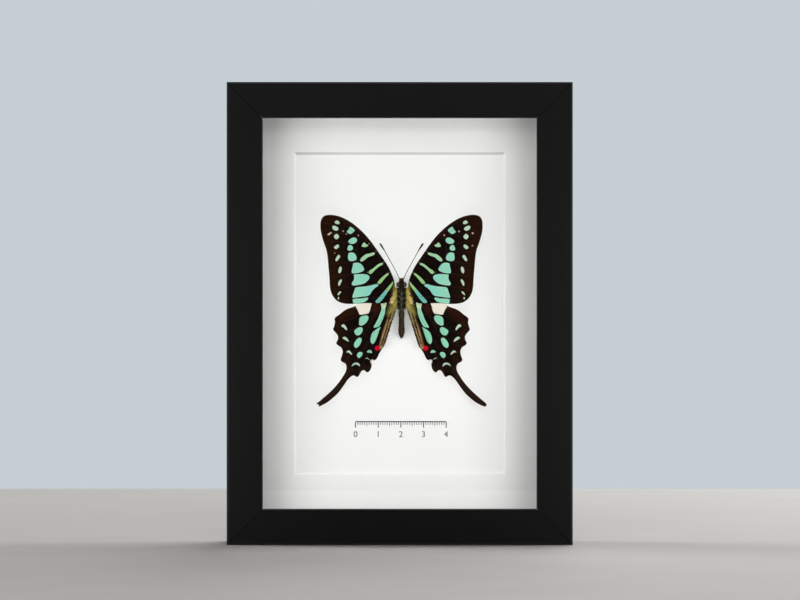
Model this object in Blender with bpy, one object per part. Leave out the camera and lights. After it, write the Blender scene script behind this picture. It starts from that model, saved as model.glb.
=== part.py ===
"""A spread swallowtail butterfly in a deep box frame, built piece by piece as it goes together.

Four mitred rails with a rabbet hold, from the front: a glass pane, four spacer strips, a mat with a
bevelled window, the card that carries the butterfly, and a back board kept in by sprung steel tabs.

Units are metres. The origin is the middle of the frame's underside, +Z is up, the glass faces -Y.
The butterfly's own frame has its origin on the card, on the body's midline: X runs across the wings,
-Y rises from the card and +Z runs from the abdomen to the head. Its outlines are in millimetres.
"""

import math

import bmesh
import bpy
import numpy as np

MM = 0.001
GAP = 0.3 * MM  # clearance left between pieces that touch

# Frame
FRAME_WIDTH = 151 * MM
FRAME_HEIGHT = 202 * MM
FRAME_DEPTH = 35 * MM
WALL = 10 * MM  # rail thickness behind the lip
FACE_WIDTH = 15.7 * MM  # rail width seen from the front, wall and lip together
LIP_THICKNESS = 4 * MM
EDGE_RADIUS = 0.6 * MM
ARC_STEPS = 3

# What the rabbet holds, from front to back
GLASS_THICKNESS = 2 * MM
SPACER_DEPTH = 16 * MM
SPACER_THICKNESS = 3 * MM
MAT_THICKNESS = 1.1 * MM
MAT_WINDOW_WIDTH = 91 * MM
MAT_WINDOW_HEIGHT = 140 * MM
CARD_THICKNESS = 0.8 * MM
BOARD_THICKNESS = 3 * MM

# Sprung tabs and hanging plate
TAB_THICKNESS = 0.4 * MM
TAB_WIDTH = 7 * MM
TAB_REACH = 10 * MM
TAB_ROOT = 4 * MM  # length pushed into the rail
TAB_OFFSET_TOP = 32 * MM
TAB_OFFSET_SIDE = 52 * MM
PLATE_LENGTH = 36 * MM
PLATE_WIDTH = 12 * MM
PLATE_THICKNESS = 1 * MM
PLATE_DROP = 36 * MM  # centre of the plate below the frame's top
SCREW_SPACING = 27 * MM
SCREW_RADIUS = 1 * MM
SCREW_SIDES = 16

# Stations along Y, front to back
FRONT_Y = -FRAME_DEPTH / 2
BACK_Y = FRAME_DEPTH / 2
LIP_BACK_Y = FRONT_Y + LIP_THICKNESS
GLASS_Y = LIP_BACK_Y + GAP
SPACER_Y = GLASS_Y + GLASS_THICKNESS + GAP
MAT_Y = SPACER_Y + SPACER_DEPTH + GAP
CARD_Y = MAT_Y + MAT_THICKNESS + GAP
BOARD_Y = CARD_Y + CARD_THICKNESS + GAP
BOARD_BACK_Y = BOARD_Y + BOARD_THICKNESS
TAB_Y = BOARD_BACK_Y + GAP

# The panels' outer size, a clearance inside the rabbet
PANEL_WIDTH = FRAME_WIDTH - 2 * (WALL + GAP)
PANEL_HEIGHT = FRAME_HEIGHT - 2 * (WALL + GAP)
MIDDLE_Z = FRAME_HEIGHT / 2

# Butterfly
SPECIMEN_X = 0.8 * MM
SPECIMEN_Z = 106.9 * MM
WING_THICKNESS = 0.3 * MM
WING_SLOPE = 0.042  # rise from the card for each unit out from the body
FOREWING_ROOT_HEIGHT = 4.3 * MM
HINDWING_ROOT_HEIGHT = 3.6 * MM
OUTLINE_STEPS = 2
BODY_SIDES = 14

# Wing outlines: (distance from the midline, height along the body), from the root round the tip
FOREWING_OUTLINE = [
    (2.9, 6.6), (3.7, 10.0), (6.0, 15.0), (9.4, 20.0), (12.6, 24.6), (15.8, 28.6), (19.8, 32.4),
    (23.0, 34.7), (25.6, 36.1), (28.4, 37.1), (31.4, 37.5), (33.8, 37.1), (35.2, 35.7),
    (35.7, 33.2), (35.4, 29.6), (34.3, 25.6), (33.0, 21.8), (32.5, 18.6), (32.1, 14.0),
    (31.7, 9.4), (31.5, 5.6), (30.7, 2.6), (29.2, 0.4), (27.2, -1.0), (24.4, -1.65),
    (20.5, -1.7), (16.0, -1.35), (11.0, -1.5), (7.2, -1.4), (5.2, 0.4), (3.8, 2.8), (2.8, 4.8),
]
HINDWING_OUTLINE = [
    (2.6, 1.6), (6.0, 3.0), (12.0, 2.6), (18.0, -0.8), (20.8, -2.8), (24.5, -4.2), (27.3, -6.3),
    (29.4, -8.0), (29.3, -9.8), (29.7, -11.6), (30.1, -13.0), (29.2, -14.2), (28.1, -15.6),
    (28.0, -17.2), (28.7, -18.9), (28.2, -19.8), (26.6, -20.9), (25.9, -22.6), (26.2, -24.4),
    (26.8, -26.3), (26.2, -27.2), (24.8, -28.0), (24.2, -29.6), (24.6, -31.6), (25.8, -33.6),
    (27.3, -35.9), (29.4, -38.4), (31.8, -40.8), (34.3, -43.0), (36.4, -44.8), (37.5, -46.0),
    (36.8, -46.9), (35.2, -46.4), (33.0, -45.3), (30.4, -43.3), (27.9, -40.9), (25.7, -38.0),
    (24.0, -35.5), (22.6, -34.0), (21.4, -33.3), (20.5, -33.4), (19.7, -33.9), (18.9, -33.5),
    (18.3, -32.4), (17.6, -31.3), (16.8, -30.9), (16.0, -31.2), (15.4, -31.8), (14.6, -31.7),
    (13.8, -30.9), (13.2, -29.4), (13.1, -27.9), (12.6, -26.7), (11.6, -26.4), (10.8, -25.6),
    (9.8, -23.5), (8.6, -21.6), (7.3, -19.3), (6.4, -16.6), (5.5, -13.6), (4.6, -10.6),
    (3.7, -7.5), (2.9, -4.8), (2.6, -2.0),
]

# Body sections in millimetres: (place along the body, half width, half depth, height of the centre)
HEAD_SECTIONS = [
    (5.6, 0.7, 0.8, 3.5), (6.1, 1.7, 1.3, 3.5), (6.9, 2.3, 1.5, 3.6), (7.7, 1.9, 1.4, 3.7),
    (8.5, 1.1, 1.0, 3.8), (9.1, 0.8, 0.7, 3.9), (9.5, 0.3, 0.3, 3.9),
]
THORAX_SECTIONS = [
    (-4.0, 0.8, 0.9, 3.2), (-3.4, 1.5, 1.5, 3.2), (-2.0, 2.1, 2.0, 3.2), (0.0, 2.25, 2.1, 3.3),
    (2.0, 2.2, 2.1, 3.3), (3.6, 1.8, 1.8, 3.4), (4.8, 1.2, 1.3, 3.4), (5.3, 0.7, 0.8, 3.5),
]
ABDOMEN_SECTIONS = [
    (-4.3, 0.8, 0.9, 3.2), (-5.4, 1.15, 1.3, 3.1), (-8.0, 1.2, 1.4, 3.0), (-10.5, 1.3, 1.4, 2.9),
    (-13.4, 1.5, 1.4, 2.7), (-15.2, 1.2, 1.1, 2.6), (-16.5, 0.7, 0.7, 2.5), (-17.1, 0.2, 0.2, 2.5),
]

# Antenna: (distance from the midline, height above the card, place along the body, radius)
ANTENNA_POINTS = [
    (0.9, 4.5, 10.0, 0.13), (3.0, 4.7, 13.7, 0.13), (5.1, 4.9, 17.4, 0.13), (7.0, 5.1, 20.7, 0.15),
    (8.1, 5.2, 22.6, 0.26), (9.0, 5.2, 24.0, 0.34), (9.5, 5.2, 24.8, 0.2),
]

# Folded leg, shared by all six: (outwards, height above the card, along the body) from its hip
LEG_POINTS = [(0.0, 1.1, 0.0), (0.7, 1.0, 0.9), (1.2, 0.8, 1.3), (0.9, 0.7, 0.2), (0.5, 0.7, -1.1)]
LEG_HIPS = {"fore": 3.0, "mid": 0.2, "hind": -2.6}  # place of the hips along the body
LEG_HIP_OUT = 1.75
LEG_RADIUS = 0.2

GLUE_RINGS = [(0.3, 1.2), (0.5, 1.15), (0.75, 0.8)]  # (height above the card, radius)


# ---------------------------------------------------------------- meshes and materials

def clear_scene():
    """Remove every object, so the model starts from an empty scene."""
    for item in list(bpy.data.objects):
        bpy.data.objects.remove(item, do_unlink=True)


def principled(name, colour, roughness, metallic=0.0, transmission=0.0):
    """Return the named Principled material, made on first use."""
    if name in bpy.data.materials:
        return bpy.data.materials[name]
    made = bpy.data.materials.new(name)
    made.use_nodes = True
    shader = made.node_tree.nodes["Principled BSDF"]
    shader.inputs["Base Color"].default_value = (*colour, 1.0)
    shader.inputs["Roughness"].default_value = roughness
    shader.inputs["Metallic"].default_value = metallic
    shader.inputs["Transmission Weight"].default_value = transmission
    return made


def black_paint():
    return principled("black_paint", (0.011, 0.011, 0.011), 0.5)


def clear_glass():
    return principled("clear_glass", (0.97, 0.99, 0.98), 0.02, transmission=1.0)


def black_foam():
    return principled("black_foam", (0.025, 0.025, 0.025), 0.8)


def mat_board():
    return principled("mat_board", (0.88, 0.88, 0.87), 0.9)


def fibre_board():
    return principled("fibre_board", (0.20, 0.12, 0.065), 0.85)


def zinc_steel():
    return principled("zinc_steel", (0.62, 0.62, 0.60), 0.35, metallic=1.0)


def wing_scales():
    return principled("wing_scales", (0.018, 0.011, 0.008), 0.7)


def body_hair():
    return principled("body_hair", (0.05, 0.045, 0.03), 0.9)


def chitin():
    return principled("chitin", (0.012, 0.009, 0.007), 0.4)


def clear_glue():
    return principled("clear_glue", (0.75, 0.68, 0.5), 0.3)


def add_object(name, points, faces, surface, parent=None, smooth_angle=None):
    """Make a named object of one closed mesh with its faces turned outwards."""
    mesh = bpy.data.meshes.new(name)
    mesh.from_pydata([tuple(map(float, p)) for p in points], [], faces)
    shell = bmesh.new()
    shell.from_mesh(mesh)
    bmesh.ops.recalc_face_normals(shell, faces=shell.faces)
    shell.to_mesh(mesh)
    shell.free()
    mesh.materials.append(surface)
    if smooth_angle is not None:
        mesh.shade_smooth()
        mesh.set_sharp_from_angle(angle=smooth_angle)
    made = bpy.data.objects.new(name, mesh)
    made.parent = parent
    bpy.context.scene.collection.objects.link(made)
    return made


def ring_faces(rings, sides):
    """Faces of a tube of rings: a quad between neighbours and a flat cap at each end."""
    faces = []
    for ring in range(rings - 1):
        for side in range(sides):
            after = (side + 1) % sides
            low = ring * sides
            high = low + sides
            faces.append((low + side, low + after, high + after, high + side))
    faces.append(tuple(range(sides)))
    faces.append(tuple(range((rings - 1) * sides, rings * sides)))
    return faces


def extruded(outline, low_y, high_y):
    """Points and faces of a closed (x, z) outline carried from low_y to high_y."""
    points = [(x, y, z) for y in (low_y, high_y) for x, z in outline]
    return points, ring_faces(2, len(outline))


def slab(name, low, high, surface):
    """A plain rectangular piece between two corners."""
    outline = [(low[0], low[2]), (high[0], low[2]), (high[0], high[2]), (low[0], high[2])]
    points, faces = extruded(outline, low[1], high[1])
    return add_object(name, points, faces, surface)


def arc(centre, radius, start, end, steps):
    """Points on a circular arc from one angle to another, both included."""
    angles = np.linspace(start, end, steps + 1)
    return [(centre[0] + radius * math.cos(a), centre[1] + radius * math.sin(a)) for a in angles]


def cut(target, cutter):
    """Take the cutter's shape out of the target and keep the cutter as a guide."""
    cutter.hide_render = True
    cutter.display_type = "WIRE"
    difference = target.modifiers.new(cutter.name, "BOOLEAN")
    difference.operation = "DIFFERENCE"
    difference.solver = "EXACT"
    difference.object = cutter


# ---------------------------------------------------------------- frame

def rail_profile():
    """Cross-section of a rail as (inwards from its outer face, y), rounded on the open edges."""
    r = EDGE_RADIUS
    quarter = math.pi / 2
    return [
        *arc((r, BACK_Y - r), r, quarter, 2 * quarter, ARC_STEPS),
        *arc((r, FRONT_Y + r), r, 2 * quarter, 3 * quarter, ARC_STEPS),
        *arc((FACE_WIDTH - r, FRONT_Y + r), r, 3 * quarter, 4 * quarter, ARC_STEPS),
        (FACE_WIDTH, LIP_BACK_Y),
        (WALL, LIP_BACK_Y),
        *arc((WALL - r, BACK_Y - r), r, 0, quarter, ARC_STEPS),
    ]


def rail_places():
    """For each rail: its length and the turn from (along, inwards) to (x, z)."""
    half = FRAME_WIDTH / 2
    return {
        "rail_bottom": (FRAME_WIDTH, lambda s, t: (s, t)),
        "rail_top": (FRAME_WIDTH, lambda s, t: (-s, FRAME_HEIGHT - t)),
        "rail_left": (FRAME_HEIGHT, lambda s, t: (-half + t, MIDDLE_Z - s)),
        "rail_right": (FRAME_HEIGHT, lambda s, t: (half - t, MIDDLE_Z + s)),
    }


def tab_offsets(rail):
    """Places of the two tabs along a rail, from its middle."""
    offset = TAB_OFFSET_TOP if rail in ("rail_bottom", "rail_top") else TAB_OFFSET_SIDE
    return {"a": -offset, "b": offset}


def build_rail(name, length, place):
    """One rail: the profile carried along it, ending in mitres that follow the inward distance."""
    profile = rail_profile()
    back_off = GAP / math.sqrt(2)
    points = []
    for end in (-1, 1):
        for inward, y in profile:
            x, z = place(end * (length / 2 - inward - back_off), inward)
            points.append((x, y, z))
    rail = add_object(name, points, ring_faces(2, len(profile)), black_paint(),
                      smooth_angle=math.radians(35))
    for key, offset in tab_offsets(name).items():
        cut(rail, build_tab_slot(name, key, offset, place))


def build_tab_slot(rail, key, offset, place):
    """The slot that a tab's root is pushed into, open towards the rabbet."""
    side = TAB_WIDTH / 2 + GAP
    corners = [
        place(offset - side, WALL - TAB_ROOT - GAP),
        place(offset + side, WALL - TAB_ROOT - GAP),
        place(offset + side, WALL + GAP),
        place(offset - side, WALL + GAP),
    ]
    points, faces = extruded(corners, TAB_Y - GAP, TAB_Y + TAB_THICKNESS + GAP)
    return add_object(f"slot_{rail}_{key}", points, faces, black_paint())


def build_tab(rail, key, offset, place):
    """A sprung steel tab: a flat strip with a round nose, lying over the back board."""
    radius = TAB_WIDTH / 2
    nose = arc((0, WALL + TAB_REACH - radius), radius, 0, math.pi, 8)
    flat = [(-radius, WALL - TAB_ROOT), (radius, WALL - TAB_ROOT), *nose]
    outline = [place(offset + across, inward) for across, inward in flat]
    points, faces = extruded(outline, TAB_Y, TAB_Y + TAB_THICKNESS)
    add_object(f"tab_{rail[5:]}_{key}", points, faces, zinc_steel())


def build_frame():
    for name, (length, place) in rail_places().items():
        build_rail(name, length, place)
        for key, offset in tab_offsets(name).items():
            build_tab(name, key, offset, place)


# ---------------------------------------------------------------- what the rabbet holds

def panel_corners(low_y, thickness):
    """Lowest and highest corner of a panel that fills the rabbet."""
    low = (-PANEL_WIDTH / 2, low_y, MIDDLE_Z - PANEL_HEIGHT / 2)
    high = (PANEL_WIDTH / 2, low_y + thickness, MIDDLE_Z + PANEL_HEIGHT / 2)
    return low, high


def build_glass():
    slab("glass", *panel_corners(GLASS_Y, GLASS_THICKNESS), clear_glass())


def build_spacers():
    """Two full-width strips at top and bottom, and two between them at the sides."""
    low, high = panel_corners(SPACER_Y, SPACER_DEPTH)
    inner_low = low[2] + SPACER_THICKNESS
    inner_high = high[2] - SPACER_THICKNESS
    slab("spacer_bottom", low, (high[0], high[1], inner_low), black_foam())
    slab("spacer_top", (low[0], low[1], inner_high), high, black_foam())
    slab("spacer_left", (low[0], low[1], inner_low + GAP),
         (low[0] + SPACER_THICKNESS, high[1], inner_high - GAP), black_foam())
    slab("spacer_right", (high[0] - SPACER_THICKNESS, low[1], inner_low + GAP),
         (high[0], high[1], inner_high - GAP), black_foam())


def rectangle(width, height):
    """Corners of an upright rectangle about the frame's middle."""
    return [(sx * width / 2, MIDDLE_Z + sz * height / 2)
            for sx, sz in ((-1, -1), (1, -1), (1, 1), (-1, 1))]


def build_mat():
    """A sheet with a window whose edge slopes in at 45 degrees towards the card."""
    back_y = MAT_Y + MAT_THICKNESS
    bevel = 2 * MAT_THICKNESS
    loops = [
        (rectangle(PANEL_WIDTH, PANEL_HEIGHT), MAT_Y),
        (rectangle(MAT_WINDOW_WIDTH + bevel, MAT_WINDOW_HEIGHT + bevel), MAT_Y),
        (rectangle(MAT_WINDOW_WIDTH, MAT_WINDOW_HEIGHT), back_y),
        (rectangle(PANEL_WIDTH, PANEL_HEIGHT), back_y),
    ]
    points = [(x, y, z) for outline, y in loops for x, z in outline]
    faces = []
    for loop in range(4):
        for corner in range(4):
            here = loop * 4
            there = (loop + 1) % 4 * 4
            after = (corner + 1) % 4
            faces.append((here + corner, here + after, there + after, there + corner))
    add_object("mat", points, faces, mat_board())


def build_card():
    slab("card", *panel_corners(CARD_Y, CARD_THICKNESS), mat_board())


def screw_places():
    """Centres of the two screws, as (x, z)."""
    z = FRAME_HEIGHT - PLATE_DROP
    return {"left": (-SCREW_SPACING / 2, z), "right": (SCREW_SPACING / 2, z)}


def turned(rings, centre, sides):
    """Points of round sections about an axis along Y; each ring is (y, radius)."""
    points = []
    for y, radius in rings:
        points += [(x, y, z) for x, z in arc(centre, radius, 0, 2 * math.pi, sides)[:-1]]
    return points


def build_screw(key, centre):
    """A pan-head screw through the hanging plate into the board."""
    seat = BOARD_BACK_Y + GAP + PLATE_THICKNESS + GAP
    head = 2.6 * SCREW_RADIUS
    rings = [
        (BOARD_BACK_Y - 2.2 * MM, 0.3 * SCREW_RADIUS),
        (BOARD_BACK_Y - 1.4 * MM, SCREW_RADIUS),
        (seat, SCREW_RADIUS),
        (seat, head),
        (seat + 0.7 * MM, head),
        (seat + 1.2 * MM, 0.7 * head),
        (seat + 1.4 * MM, 0.3 * head),
    ]
    points = turned(rings, centre, SCREW_SIDES)
    add_object(f"plate_screw_{key}", points, ring_faces(len(rings), SCREW_SIDES), zinc_steel(),
               smooth_angle=math.radians(35))


def build_screw_hole(key, centre):
    """A guide cylinder that clears the screw's shank in the plate and the board."""
    rings = [(BOARD_BACK_Y - 2.6 * MM, SCREW_RADIUS + GAP),
             (BOARD_BACK_Y + 2 * PLATE_THICKNESS, SCREW_RADIUS + GAP)]
    points = turned(rings, centre, SCREW_SIDES)
    return add_object(f"hole_{key}", points, ring_faces(2, SCREW_SIDES), zinc_steel())


def build_hanging_plate():
    """A strip with round ends and an arched hole for a wall nail."""
    z = FRAME_HEIGHT - PLATE_DROP
    radius = PLATE_WIDTH / 2
    straight = PLATE_LENGTH / 2 - radius
    outline = [*arc((straight, z), radius, -math.pi / 2, math.pi / 2, 10),
               *arc((-straight, z), radius, math.pi / 2, 3 * math.pi / 2, 10)]
    low_y = BOARD_BACK_Y + GAP
    points, faces = extruded(outline, low_y, low_y + PLATE_THICKNESS)
    plate = add_object("hanging_plate", points, faces, zinc_steel())
    arch = PLATE_WIDTH / 4
    window = [*arc((arch, z), arch, -math.pi / 2, math.pi / 2, 8),
              *arc((-arch, z), arch, math.pi / 2, 3 * math.pi / 2, 8)]
    points, faces = extruded(window, low_y - PLATE_THICKNESS, low_y + 2 * PLATE_THICKNESS)
    cut(plate, add_object("nail_hole", points, faces, zinc_steel()))
    return plate


def build_back_board():
    """The board, with the hanging plate screwed to it near the top."""
    board = slab("back_board", *panel_corners(BOARD_Y, BOARD_THICKNESS), fibre_board())
    plate = build_hanging_plate()
    for key, centre in screw_places().items():
        hole = build_screw_hole(key, centre)
        cut(board, hole)
        cut(plate, hole)
        build_screw(key, centre)


# ---------------------------------------------------------------- butterfly

def smooth_outline(points, steps):
    """A closed Catmull-Rom curve through the points, with `steps` stretches between neighbours."""
    p = np.array(points, dtype=float)
    before, after, second = (np.roll(p, shift, axis=0) for shift in (1, -1, -2))
    curve = []
    for t in np.arange(steps) / steps:
        curve.append(0.5 * (2 * p + (after - before) * t
                            + (2 * before - 5 * p + 4 * after - second) * t ** 2
                            + (3 * p - before - 3 * after + second) * t ** 3))
    return np.stack(curve, axis=1).reshape(-1, 2)


def build_wing(name, outline, side, root_height, parent):
    """A wing as a thin plate whose height above the card grows with the distance from the body."""
    edge = smooth_outline(outline, OUTLINE_STEPS) * MM
    height = root_height + WING_SLOPE * edge[:, 0]
    points = []
    for offset in (-WING_THICKNESS / 2, WING_THICKNESS / 2):
        points += list(np.column_stack([side * edge[:, 0], -(height + offset), edge[:, 1]]))
    add_object(name, points, ring_faces(2, len(edge)), wing_scales(), parent)


def build_body_part(name, sections, surface, parent):
    """A rounded body region: oval sections along the body, joined into one closed skin."""
    turn = np.linspace(0, 2 * math.pi, BODY_SIDES, endpoint=False)
    points = []
    for along, half_width, half_depth, height in sections:
        x = half_width * np.cos(turn)
        y = -(height + half_depth * np.sin(turn))
        points += list(np.column_stack([x, y, np.full_like(x, along)]) * MM)
    add_object(name, points, ring_faces(len(sections), BODY_SIDES), surface, parent,
               smooth_angle=math.radians(60))


def build_rod(name, stations, surface, parent):
    """A round rod through (x, y, z, radius) stations in millimetres, with closed ends."""
    curve = bpy.data.curves.new(name, "CURVE")
    curve.dimensions = "3D"
    curve.bevel_depth = MM
    curve.bevel_resolution = 1
    curve.use_fill_caps = True
    spline = curve.splines.new("POLY")
    spline.points.add(len(stations) - 1)
    for point, (x, y, z, radius) in zip(spline.points, stations):
        point.co = (x * MM, y * MM, z * MM, 1.0)
        point.radius = radius
    curve.materials.append(surface)
    made = bpy.data.objects.new(name, curve)
    made.parent = parent
    bpy.context.scene.collection.objects.link(made)


def build_antenna(key, side, parent):
    stations = [(side * out, -height, along, radius) for out, height, along, radius in ANTENNA_POINTS]
    build_rod(f"antenna_{key}", stations, chitin(), parent)


def build_leg(pair, key, side, parent):
    """One leg, folded back on itself between the thorax and the card."""
    hip = LEG_HIPS[pair]
    stations = [(side * (LEG_HIP_OUT + out), -height, hip + along, LEG_RADIUS)
                for out, height, along in LEG_POINTS]
    build_rod(f"leg_{pair}_{key}", stations, chitin(), parent)


def build_glue(parent):
    """The low dab that holds the thorax to the card."""
    rings = [(-height * MM, radius * MM) for height, radius in GLUE_RINGS]
    points = turned(rings, (0.0, 0.0), BODY_SIDES)
    add_object("glue_dab", points, ring_faces(len(rings), BODY_SIDES), clear_glue(), parent,
               smooth_angle=math.radians(60))


def build_butterfly():
    """Wings, body regions, antennae and legs, all hung on one empty on the card."""
    perch = bpy.data.objects.new("specimen", None)
    perch.location = (SPECIMEN_X, CARD_Y, SPECIMEN_Z)
    bpy.context.scene.collection.objects.link(perch)
    build_body_part("head", HEAD_SECTIONS, body_hair(), perch)
    build_body_part("thorax", THORAX_SECTIONS, body_hair(), perch)
    build_body_part("abdomen", ABDOMEN_SECTIONS, body_hair(), perch)
    build_glue(perch)
    for key, side in (("left", -1), ("right", 1)):
        build_wing(f"forewing_{key}", FOREWING_OUTLINE, side, FOREWING_ROOT_HEIGHT, perch)
        build_wing(f"hindwing_{key}", HINDWING_OUTLINE, side, HINDWING_ROOT_HEIGHT, perch)
        build_antenna(key, side, perch)
        for pair in LEG_HIPS:
            build_leg(pair, key, side, perch)


def build_all():
    clear_scene()
    build_frame()
    build_glass()
    build_spacers()
    build_mat()
    build_card()
    build_back_board()
    build_butterfly()


build_all()
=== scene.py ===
# %% [markdown]
# # A spread swallowtail in a deep box frame
#
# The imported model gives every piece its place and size. This lesson dresses it: the frame gets its
# lacquer, the mat its cut bevel and the butterfly its veins, scales and hair. Each shape is a surface
# worked out with numpy from two parameters, then handed to Blender as whole arrays.

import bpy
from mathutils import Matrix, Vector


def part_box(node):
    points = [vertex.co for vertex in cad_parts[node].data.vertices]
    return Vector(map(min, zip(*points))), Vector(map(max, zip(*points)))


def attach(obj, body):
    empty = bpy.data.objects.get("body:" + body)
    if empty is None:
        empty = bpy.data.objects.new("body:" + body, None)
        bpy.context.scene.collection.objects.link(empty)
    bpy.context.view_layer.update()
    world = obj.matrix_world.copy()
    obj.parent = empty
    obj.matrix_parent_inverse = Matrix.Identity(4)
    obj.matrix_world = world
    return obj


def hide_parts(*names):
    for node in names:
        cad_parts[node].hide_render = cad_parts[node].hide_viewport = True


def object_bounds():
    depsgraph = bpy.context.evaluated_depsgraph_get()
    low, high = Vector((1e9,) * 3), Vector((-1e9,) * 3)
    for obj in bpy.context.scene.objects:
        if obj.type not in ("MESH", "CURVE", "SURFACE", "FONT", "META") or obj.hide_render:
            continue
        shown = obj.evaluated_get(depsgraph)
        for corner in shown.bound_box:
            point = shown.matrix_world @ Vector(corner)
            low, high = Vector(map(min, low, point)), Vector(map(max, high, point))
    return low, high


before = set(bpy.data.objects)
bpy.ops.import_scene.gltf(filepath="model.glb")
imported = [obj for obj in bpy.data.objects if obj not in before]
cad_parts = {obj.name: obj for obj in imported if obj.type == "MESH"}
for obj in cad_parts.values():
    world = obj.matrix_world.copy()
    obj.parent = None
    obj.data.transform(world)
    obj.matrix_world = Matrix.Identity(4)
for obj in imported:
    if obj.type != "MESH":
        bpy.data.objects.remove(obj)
cad_box = [list(corner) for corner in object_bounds()]
print("CAD nodes:", len(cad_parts))

# %% Tools and units
import math

import bpy
import numpy as np
from mathutils import Vector

MM = 0.001
rng = np.random.default_rng(7)

# %% [markdown]
# ## Where things are
#
# Nothing is measured again here. The outer box gives the frame's faces, and the boxes of single
# nodes give the card, the window and the butterfly's own origin: on the card's face, on the body's
# midline, a fixed way behind the front end of the thorax.

# %% Places read from the frame
low, high = (np.array(corner) for corner in cad_box)
front_y, back_y = low[1], high[1]
middle_z = (low[2] + high[2]) / 2
card_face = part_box("card")[0].y
head_low, head_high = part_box("head")
thorax_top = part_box("thorax")[1].z
THORAX_FRONT = 5.3 * MM  # from the butterfly's origin to the front end of the thorax

origin = np.array([(head_low.x + head_high.x) / 2, card_face, thorax_top - THORAX_FRONT])
print("butterfly's origin, mm:", np.round(origin / MM, 2))

# %% [markdown]
# ## Putting arrays into a mesh
#
# Every surface below ends as an array of points and an array of faces. One helper makes the object,
# stores any values that the material reads at each point, and says which body it rides on.

# %% Helper: an object from whole arrays
def add_piece(name, points, faces, finish, stands_for=(), values=None, sharp=None):
    """A piece of the object from points (n, 3) and faces, with one named value per point if given."""
    mesh = bpy.data.meshes.new(name)
    mesh.from_pydata(np.asarray(points).tolist(), [], [list(map(int, face)) for face in faces])
    for key, value in (values or {}).items():
        flat = np.asarray(value, dtype=np.float32)
        kind = "FLOAT" if flat.ndim == 1 else "FLOAT_VECTOR"
        layer = mesh.attributes.new(key, kind, "POINT")
        layer.data.foreach_set("value" if flat.ndim == 1 else "vector", flat.ravel())
    mesh.materials.append(finish)
    mesh.shade_smooth()
    if sharp is not None:
        mesh.set_sharp_from_angle(angle=math.radians(sharp))
    made = bpy.data.objects.new(name, mesh)
    bpy.context.scene.collection.objects.link(made)
    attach(made, "root")
    if stands_for:
        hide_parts(*stands_for)
    print(f"{name}: {len(points)} points, {len(mesh.polygons)} faces")
    return made


# %% Helper: the faces of a grid
def grid_faces(rows, columns, close_rows=False, close_columns=False, turned=False):
    """Quads between neighbouring points of a rows x columns grid stored row by row.

    Formula: face (i, j) joins points (i, j), (i, j+1), (i+1, j+1), (i+1, j), where a closed
    direction counts on from its last point to its first. `turned` reverses each face.
    """
    i, j = np.meshgrid(np.arange(rows - (not close_rows)), np.arange(columns - (not close_columns)),
                       indexing="ij")
    after_i, after_j = (i + 1) % rows, (j + 1) % columns
    quads = np.stack([i * columns + j, i * columns + after_j,
                      after_i * columns + after_j, after_i * columns + j], axis=-1).reshape(-1, 4)
    return quads[:, ::-1] if turned else quads


# %% [markdown]
# ## Writing materials briefly
#
# Each finish is a Principled shader fed by a few texture nodes. Numbers that are the same all over a
# surface sit on the shader's own sockets. Patterns read Object coordinates, or a value stored on the
# mesh where they have to follow the piece.

# %% Helpers: materials from nodes
def new_finish(name, sockets):
    """A Principled material with these sockets set; returns the material, its tree and its shader."""
    finish = bpy.data.materials.new(name)
    finish.use_nodes = True
    shader = finish.node_tree.nodes["Principled BSDF"]
    for key, value in sockets.items():
        shader.inputs[key].default_value = value
    return finish, finish.node_tree, shader


def put(tree, kind, inputs=(), **settings):
    """A shader node whose inputs are numbers, colours or the outputs of other nodes."""
    node = tree.nodes.new("ShaderNode" + kind)
    for key, value in settings.items():
        setattr(node, key, value)
    for key, value in dict(inputs).items():
        if isinstance(value, bpy.types.NodeSocket):
            tree.links.new(value, node.inputs[key])
        else:
            node.inputs[key].default_value = value
    return node


def stored(tree, name, output="Fac"):
    """A value that the mesh keeps at each point."""
    return put(tree, "Attribute", attribute_name=name).outputs[output]


def place(tree, stretch=(1, 1, 1)):
    """Object coordinates in millimetres, stretched along each axis."""
    coordinates = put(tree, "TexCoord").outputs["Object"]
    scale = tuple(s / MM for s in stretch)
    return put(tree, "Mapping", {"Vector": coordinates, "Scale": scale}).outputs["Vector"]


def speckle(tree, where, scale, detail=2.0, rough=0.5):
    """Soft noise from 0 to 1 with `scale` patches to the millimetre."""
    inputs = {"Vector": where, "Scale": scale, "Detail": detail, "Roughness": rough}
    return put(tree, "TexNoise", inputs).outputs["Fac"]


def spread(tree, value, low, high, to_low=0.0, to_high=1.0):
    """Value carried smoothly from low..high to to_low..to_high, held at the ends."""
    inputs = {"Value": value, 1: low, 2: high, 3: to_low, 4: to_high}
    return put(tree, "MapRange", inputs, interpolation_type="SMOOTHSTEP").outputs["Result"]


def maths(tree, operation, first, second):
    """One arithmetic step between two numbers or outputs."""
    return put(tree, "Math", {0: first, 1: second}, operation=operation).outputs[0]


def colour_mix(tree, share, first, second, kind="MIX"):
    """The first colour where share is 0, going to the second where it is 1."""
    colours = {key: (*c, 1.0) if isinstance(c, tuple) and len(c) == 3 else c
               for key, c in ((6, first), (7, second))}
    mix = put(tree, "Mix", {0: share, **colours}, data_type="RGBA", blend_type=kind)
    return mix.outputs[2]


def feed(tree, shader, **sockets):
    """Link outputs to the shader's colour, roughness and so on, one keyword for each socket."""
    for key, value in sockets.items():
        tree.links.new(value, shader.inputs[key.replace("_", " ").title()])


def relief(tree, shader, height, strength, depth_mm):
    """Bump the surface by `height`, at most depth_mm deep."""
    bump = put(tree, "Bump", {"Height": height, "Strength": strength, "Distance": depth_mm * MM})
    tree.links.new(bump.outputs["Normal"], shader.inputs["Normal"])


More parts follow.
